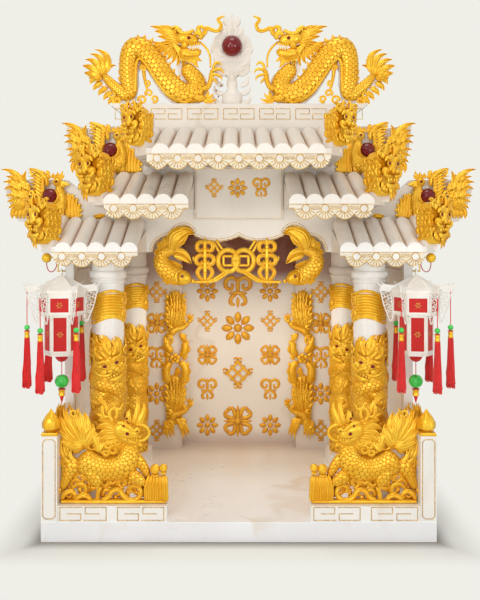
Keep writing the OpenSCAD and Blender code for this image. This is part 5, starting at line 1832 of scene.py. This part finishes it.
def corner_wing():
    """A thin pierced wing that hangs under a corner of the roof, drawn outwards from the middle."""
    c = Carving()
    c.stroke([(34, 6, 1.6), (46, 5, 1.8), (56, 9, 1.6), (61, 15, 0.8)], 0, 0.8, finish=FRAME)
    c.stroke([(38, 9, 1.2), (48, 10, 1.4), (55, 14, 0.8)], 0, 0.8, finish=FRAME)
    for x, z, r in ((50, 0, 3.4), (43, -4, 3.4), (52, -8, 3.0), (46, -12, 3.2), (40, -14, 3),
            (48, -20, 2.8), (43, -24, 3), (39, -31, 2.8), (44, -33, 2.2), (37, -40, 2.6), (40, -47, 1.9)):
        ring = ring_points(x, z, r, np.linspace(0, 5.9, 8), 0.85)
        c.stroke(ring, 0, 0.9, step=2.2, front=4, finish=FRAME)
    c.stroke([(36, 4, 1.2), (38, -14, 1.2), (36, -34, 1.2), (37, -50, 0.6)], 0, 0.8, finish=FRAME)
    c.stroke([(58, 6, 0.8), (54, -6, 1.1), (51, -20, 1.1), (46, -34, 1.1), (40, -50, 0.6)], 0, 0.8,
        finish=FRAME)
    return c


def lantern_shell():
    """Panels on the six faces of crown and body, wings and roof ridges at the corners, and a red foot."""
    c = Carving()
    crown_half, body_half = CROWN_R / 2, BODY_R / 2
    crown = framed_face(-crown_half + 4, crown_half - 4, EAVES - 34, EAVES - 12, 2.6)
    body = framed_face(-body_half + 3.4, body_half - 3.4, BODY_FOOT + 8, EAVES - 43, 2.2)
    for number in range(6):
        turn = LANTERN_TURN + math.radians(60 * number)
        for face, r in ((crown, CROWN_R), (body, BODY_R)):
            out = r * math.cos(math.pi / 6) + 0.2
            spin = turn + math.radians(30)
            c += face.moved(out * math.cos(spin), out * math.sin(spin), turn=spin + math.pi / 2)
        c += corner_wing().moved(z=EAVES - 3, turn=turn)
        hip = [(8, EAVES + 19, 1.4), (24, EAVES + 10, 1.8), (41, EAVES + 1, 1.8)]
        c += Carving().stroke(hip, step=4, front=5, finish=FRAME).moved(turn=turn)
    hem = turned([(8, BODY_FOOT), (10, BODY_FOOT - 3), (9, BODY_FOOT - 6), (6, BODY_FOOT - 10),
        (2, BODY_FOOT - 12)], 24, 2, 12, 0.12)
    return c + hem.finished(CLOTH)


def tassel_tree():
    """A bundle of threads at each point: they hang, flare, and differ in length."""
    tree, size = geometry_tree("tassels", {"Threads": ("Int", 90), "Length": ("Float", 0.08),
        "Top": ("Float", 0.004), "Flare": ("Float", 0.8), "Thickness": ("Float", 0.0006),
        "Seed": ("Int", 5)})
    start = Value(tree)
    end = start.put("ShaderNodeCombineXYZ", {"Z": size["Length"] * -1})
    line = start.put("GeometryNodeCurvePrimitiveLine", {"End": end})
    fine = line.put("GeometryNodeResampleCurve", {"Curve": line, "Count": 8})
    profile = start.put("GeometryNodeCurvePrimitiveCircle", {"Resolution": 3, "Radius": size["Thickness"]})
    thread = fine.put("GeometryNodeCurveToMesh",
        {"Curve": fine, "Profile Curve": profile, "Fill Caps": True})
    number = start.put("GeometryNodeInputIndex")
    turn = number * 2.39996
    reach = number.math("SQRT", (number + 0.5) / size["Threads"]) * size["Top"]
    spot = start.put("ShaderNodeCombineXYZ", {"X": reach * turn.math("COSINE", turn),
        "Y": reach * turn.math("SINE", turn)})
    heads = start.put("GeometryNodePoints", {"Count": size["Threads"], "Position": spot})
    share = start.put("FunctionNodeRandomValue", {2: 0.9, 3: 1.04, "Seed": size["Seed"]}, out=1,
        data_type="FLOAT")
    stretch = start.put("ShaderNodeCombineXYZ", {"X": 1.0, "Y": 1.0, "Z": share})
    bundle = heads.put("GeometryNodeInstanceOnPoints",
        {"Points": heads, "Instance": thread, "Scale": stretch})
    loose = bundle.put("GeometryNodeRealizeInstances", {0: bundle})
    place_now = start.put("GeometryNodeInputPosition")
    down = start.put("ShaderNodeSeparateXYZ", {0: place_now}, out="Z") / size["Length"] * -1
    wave = place_now.noise(45.0, 1.0, out=1)
    sway = start.vector("SUBTRACT", wave, (0.5, 0.5, 0.5))
    spread = start.vector("MULTIPLY", place_now, (1, 1, 0))
    out = start.put("ShaderNodeVectorMath", {0: spread, "Scale": down * size["Flare"]}, operation="SCALE")
    drift = start.put("ShaderNodeVectorMath", {0: sway, "Scale": down * 0.006}, operation="SCALE")
    shift = start.vector("ADD", out, drift)
    hung = loose.put("GeometryNodeSetPosition", {"Geometry": loose, "Offset": shift})
    tassels = hung.put("GeometryNodeInstanceOnPoints", {"Points": size["Geometry"], "Instance": hung})
    close_tree(tassels, red_silk)
    return tree


BEAD, RED, GOLD_TRIM = 0, 1, 2


def beads(x, y, top, bead_z, bead_r, sleeve, tip):
    """A cord from top, a green bead, a red ring and a gilt sleeve; tip is the end of a red cone, if any."""
    foot = bead_z - bead_r
    cord = [(0.7, bead_z), (0.7, top)]
    bead = [(0.3, foot), (bead_r * 0.7, bead_z - bead_r * 0.72), (bead_r, bead_z),
        (bead_r * 0.7, bead_z + bead_r * 0.72), (0.3, bead_z + bead_r)]
    ring = [(0.4, foot - 2.2), (sleeve, foot - 1.8), (sleeve + 0.4, foot - 0.6), (0.4, foot + 0.6)]
    tube = [(sleeve * 0.8, foot - 12.4), (sleeve, foot - 11.6), (sleeve * 0.84, foot - 7.2),
        (sleeve, foot - 2.8), (sleeve * 0.8, foot - 2)]
    c = Carving()
    for profile, finish, sides in ((cord, RED, 6), (bead, BEAD, 24), (ring, RED, 16),
            (tube, GOLD_TRIM, 20)):
        c += turned(profile, sides, 1.6).finished(finish)
    if tip:
        cone = [(0.3, tip), (sleeve * 0.7, foot - 12), (sleeve * 0.5, foot - 11)]
        c += turned(cone, 12, 2).finished(RED)
    return c.moved(x, y)


def lanterns():
    tree = tassel_tree()
    tassel_foot = millimetres("right_lantern_tassels")[0][2]
    pendant_foot = millimetres("right_lantern_pendant")[0][2]
    corner_r = 54
    bead_z = EAVES - 60
    silk_top = bead_z - 16.5
    for side, name in ((-1, "left"), (1, "right")):
        body = f"hanging_lantern_{name}"
        shell = lantern_shell().moved(flip=side > 0).moved(side * AXIS_X, AXIS_Y)
        shell.piece(f"{name}_lantern_faces", body, "lantern_frame",
            [lantern_frame, lantern_panel, gold_line])
        spots, strings = [], Carving()
        for number in range(1, 6):
            turn = LANTERN_TURN + math.radians(60 * number)
            x, y = side * (AXIS_X - corner_r * math.cos(turn)), AXIS_Y + corner_r * math.sin(turn)
            spots.append((x, y, silk_top))
            strings += beads(x, y, EAVES - 3, bead_z, 4.4, 4.2, 0)
        strings.piece(f"{name}_corner_beads", body, "green_bead", [green_bead, red_silk, gilt])
        silk = grow(f"{name}_silk_tassels", spots, [0] * 5, tree, {"Threads": 90,
            "Length": (silk_top - tassel_foot) / 1.04 * MM, "Top": 3.9 * MM})
        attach(silk, body)
        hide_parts(f"{name}_lantern_tassels")
        drop = beads(side * AXIS_X, AXIS_Y, BODY_FOOT - 8, BODY_FOOT - 43, 11, 5.4, pendant_foot - 10)
        drop.piece(f"{name}_pendant_bead", body, "green_bead", [green_bead, red_silk, gilt],
            f"{name}_lantern_pendant")


lanterns()
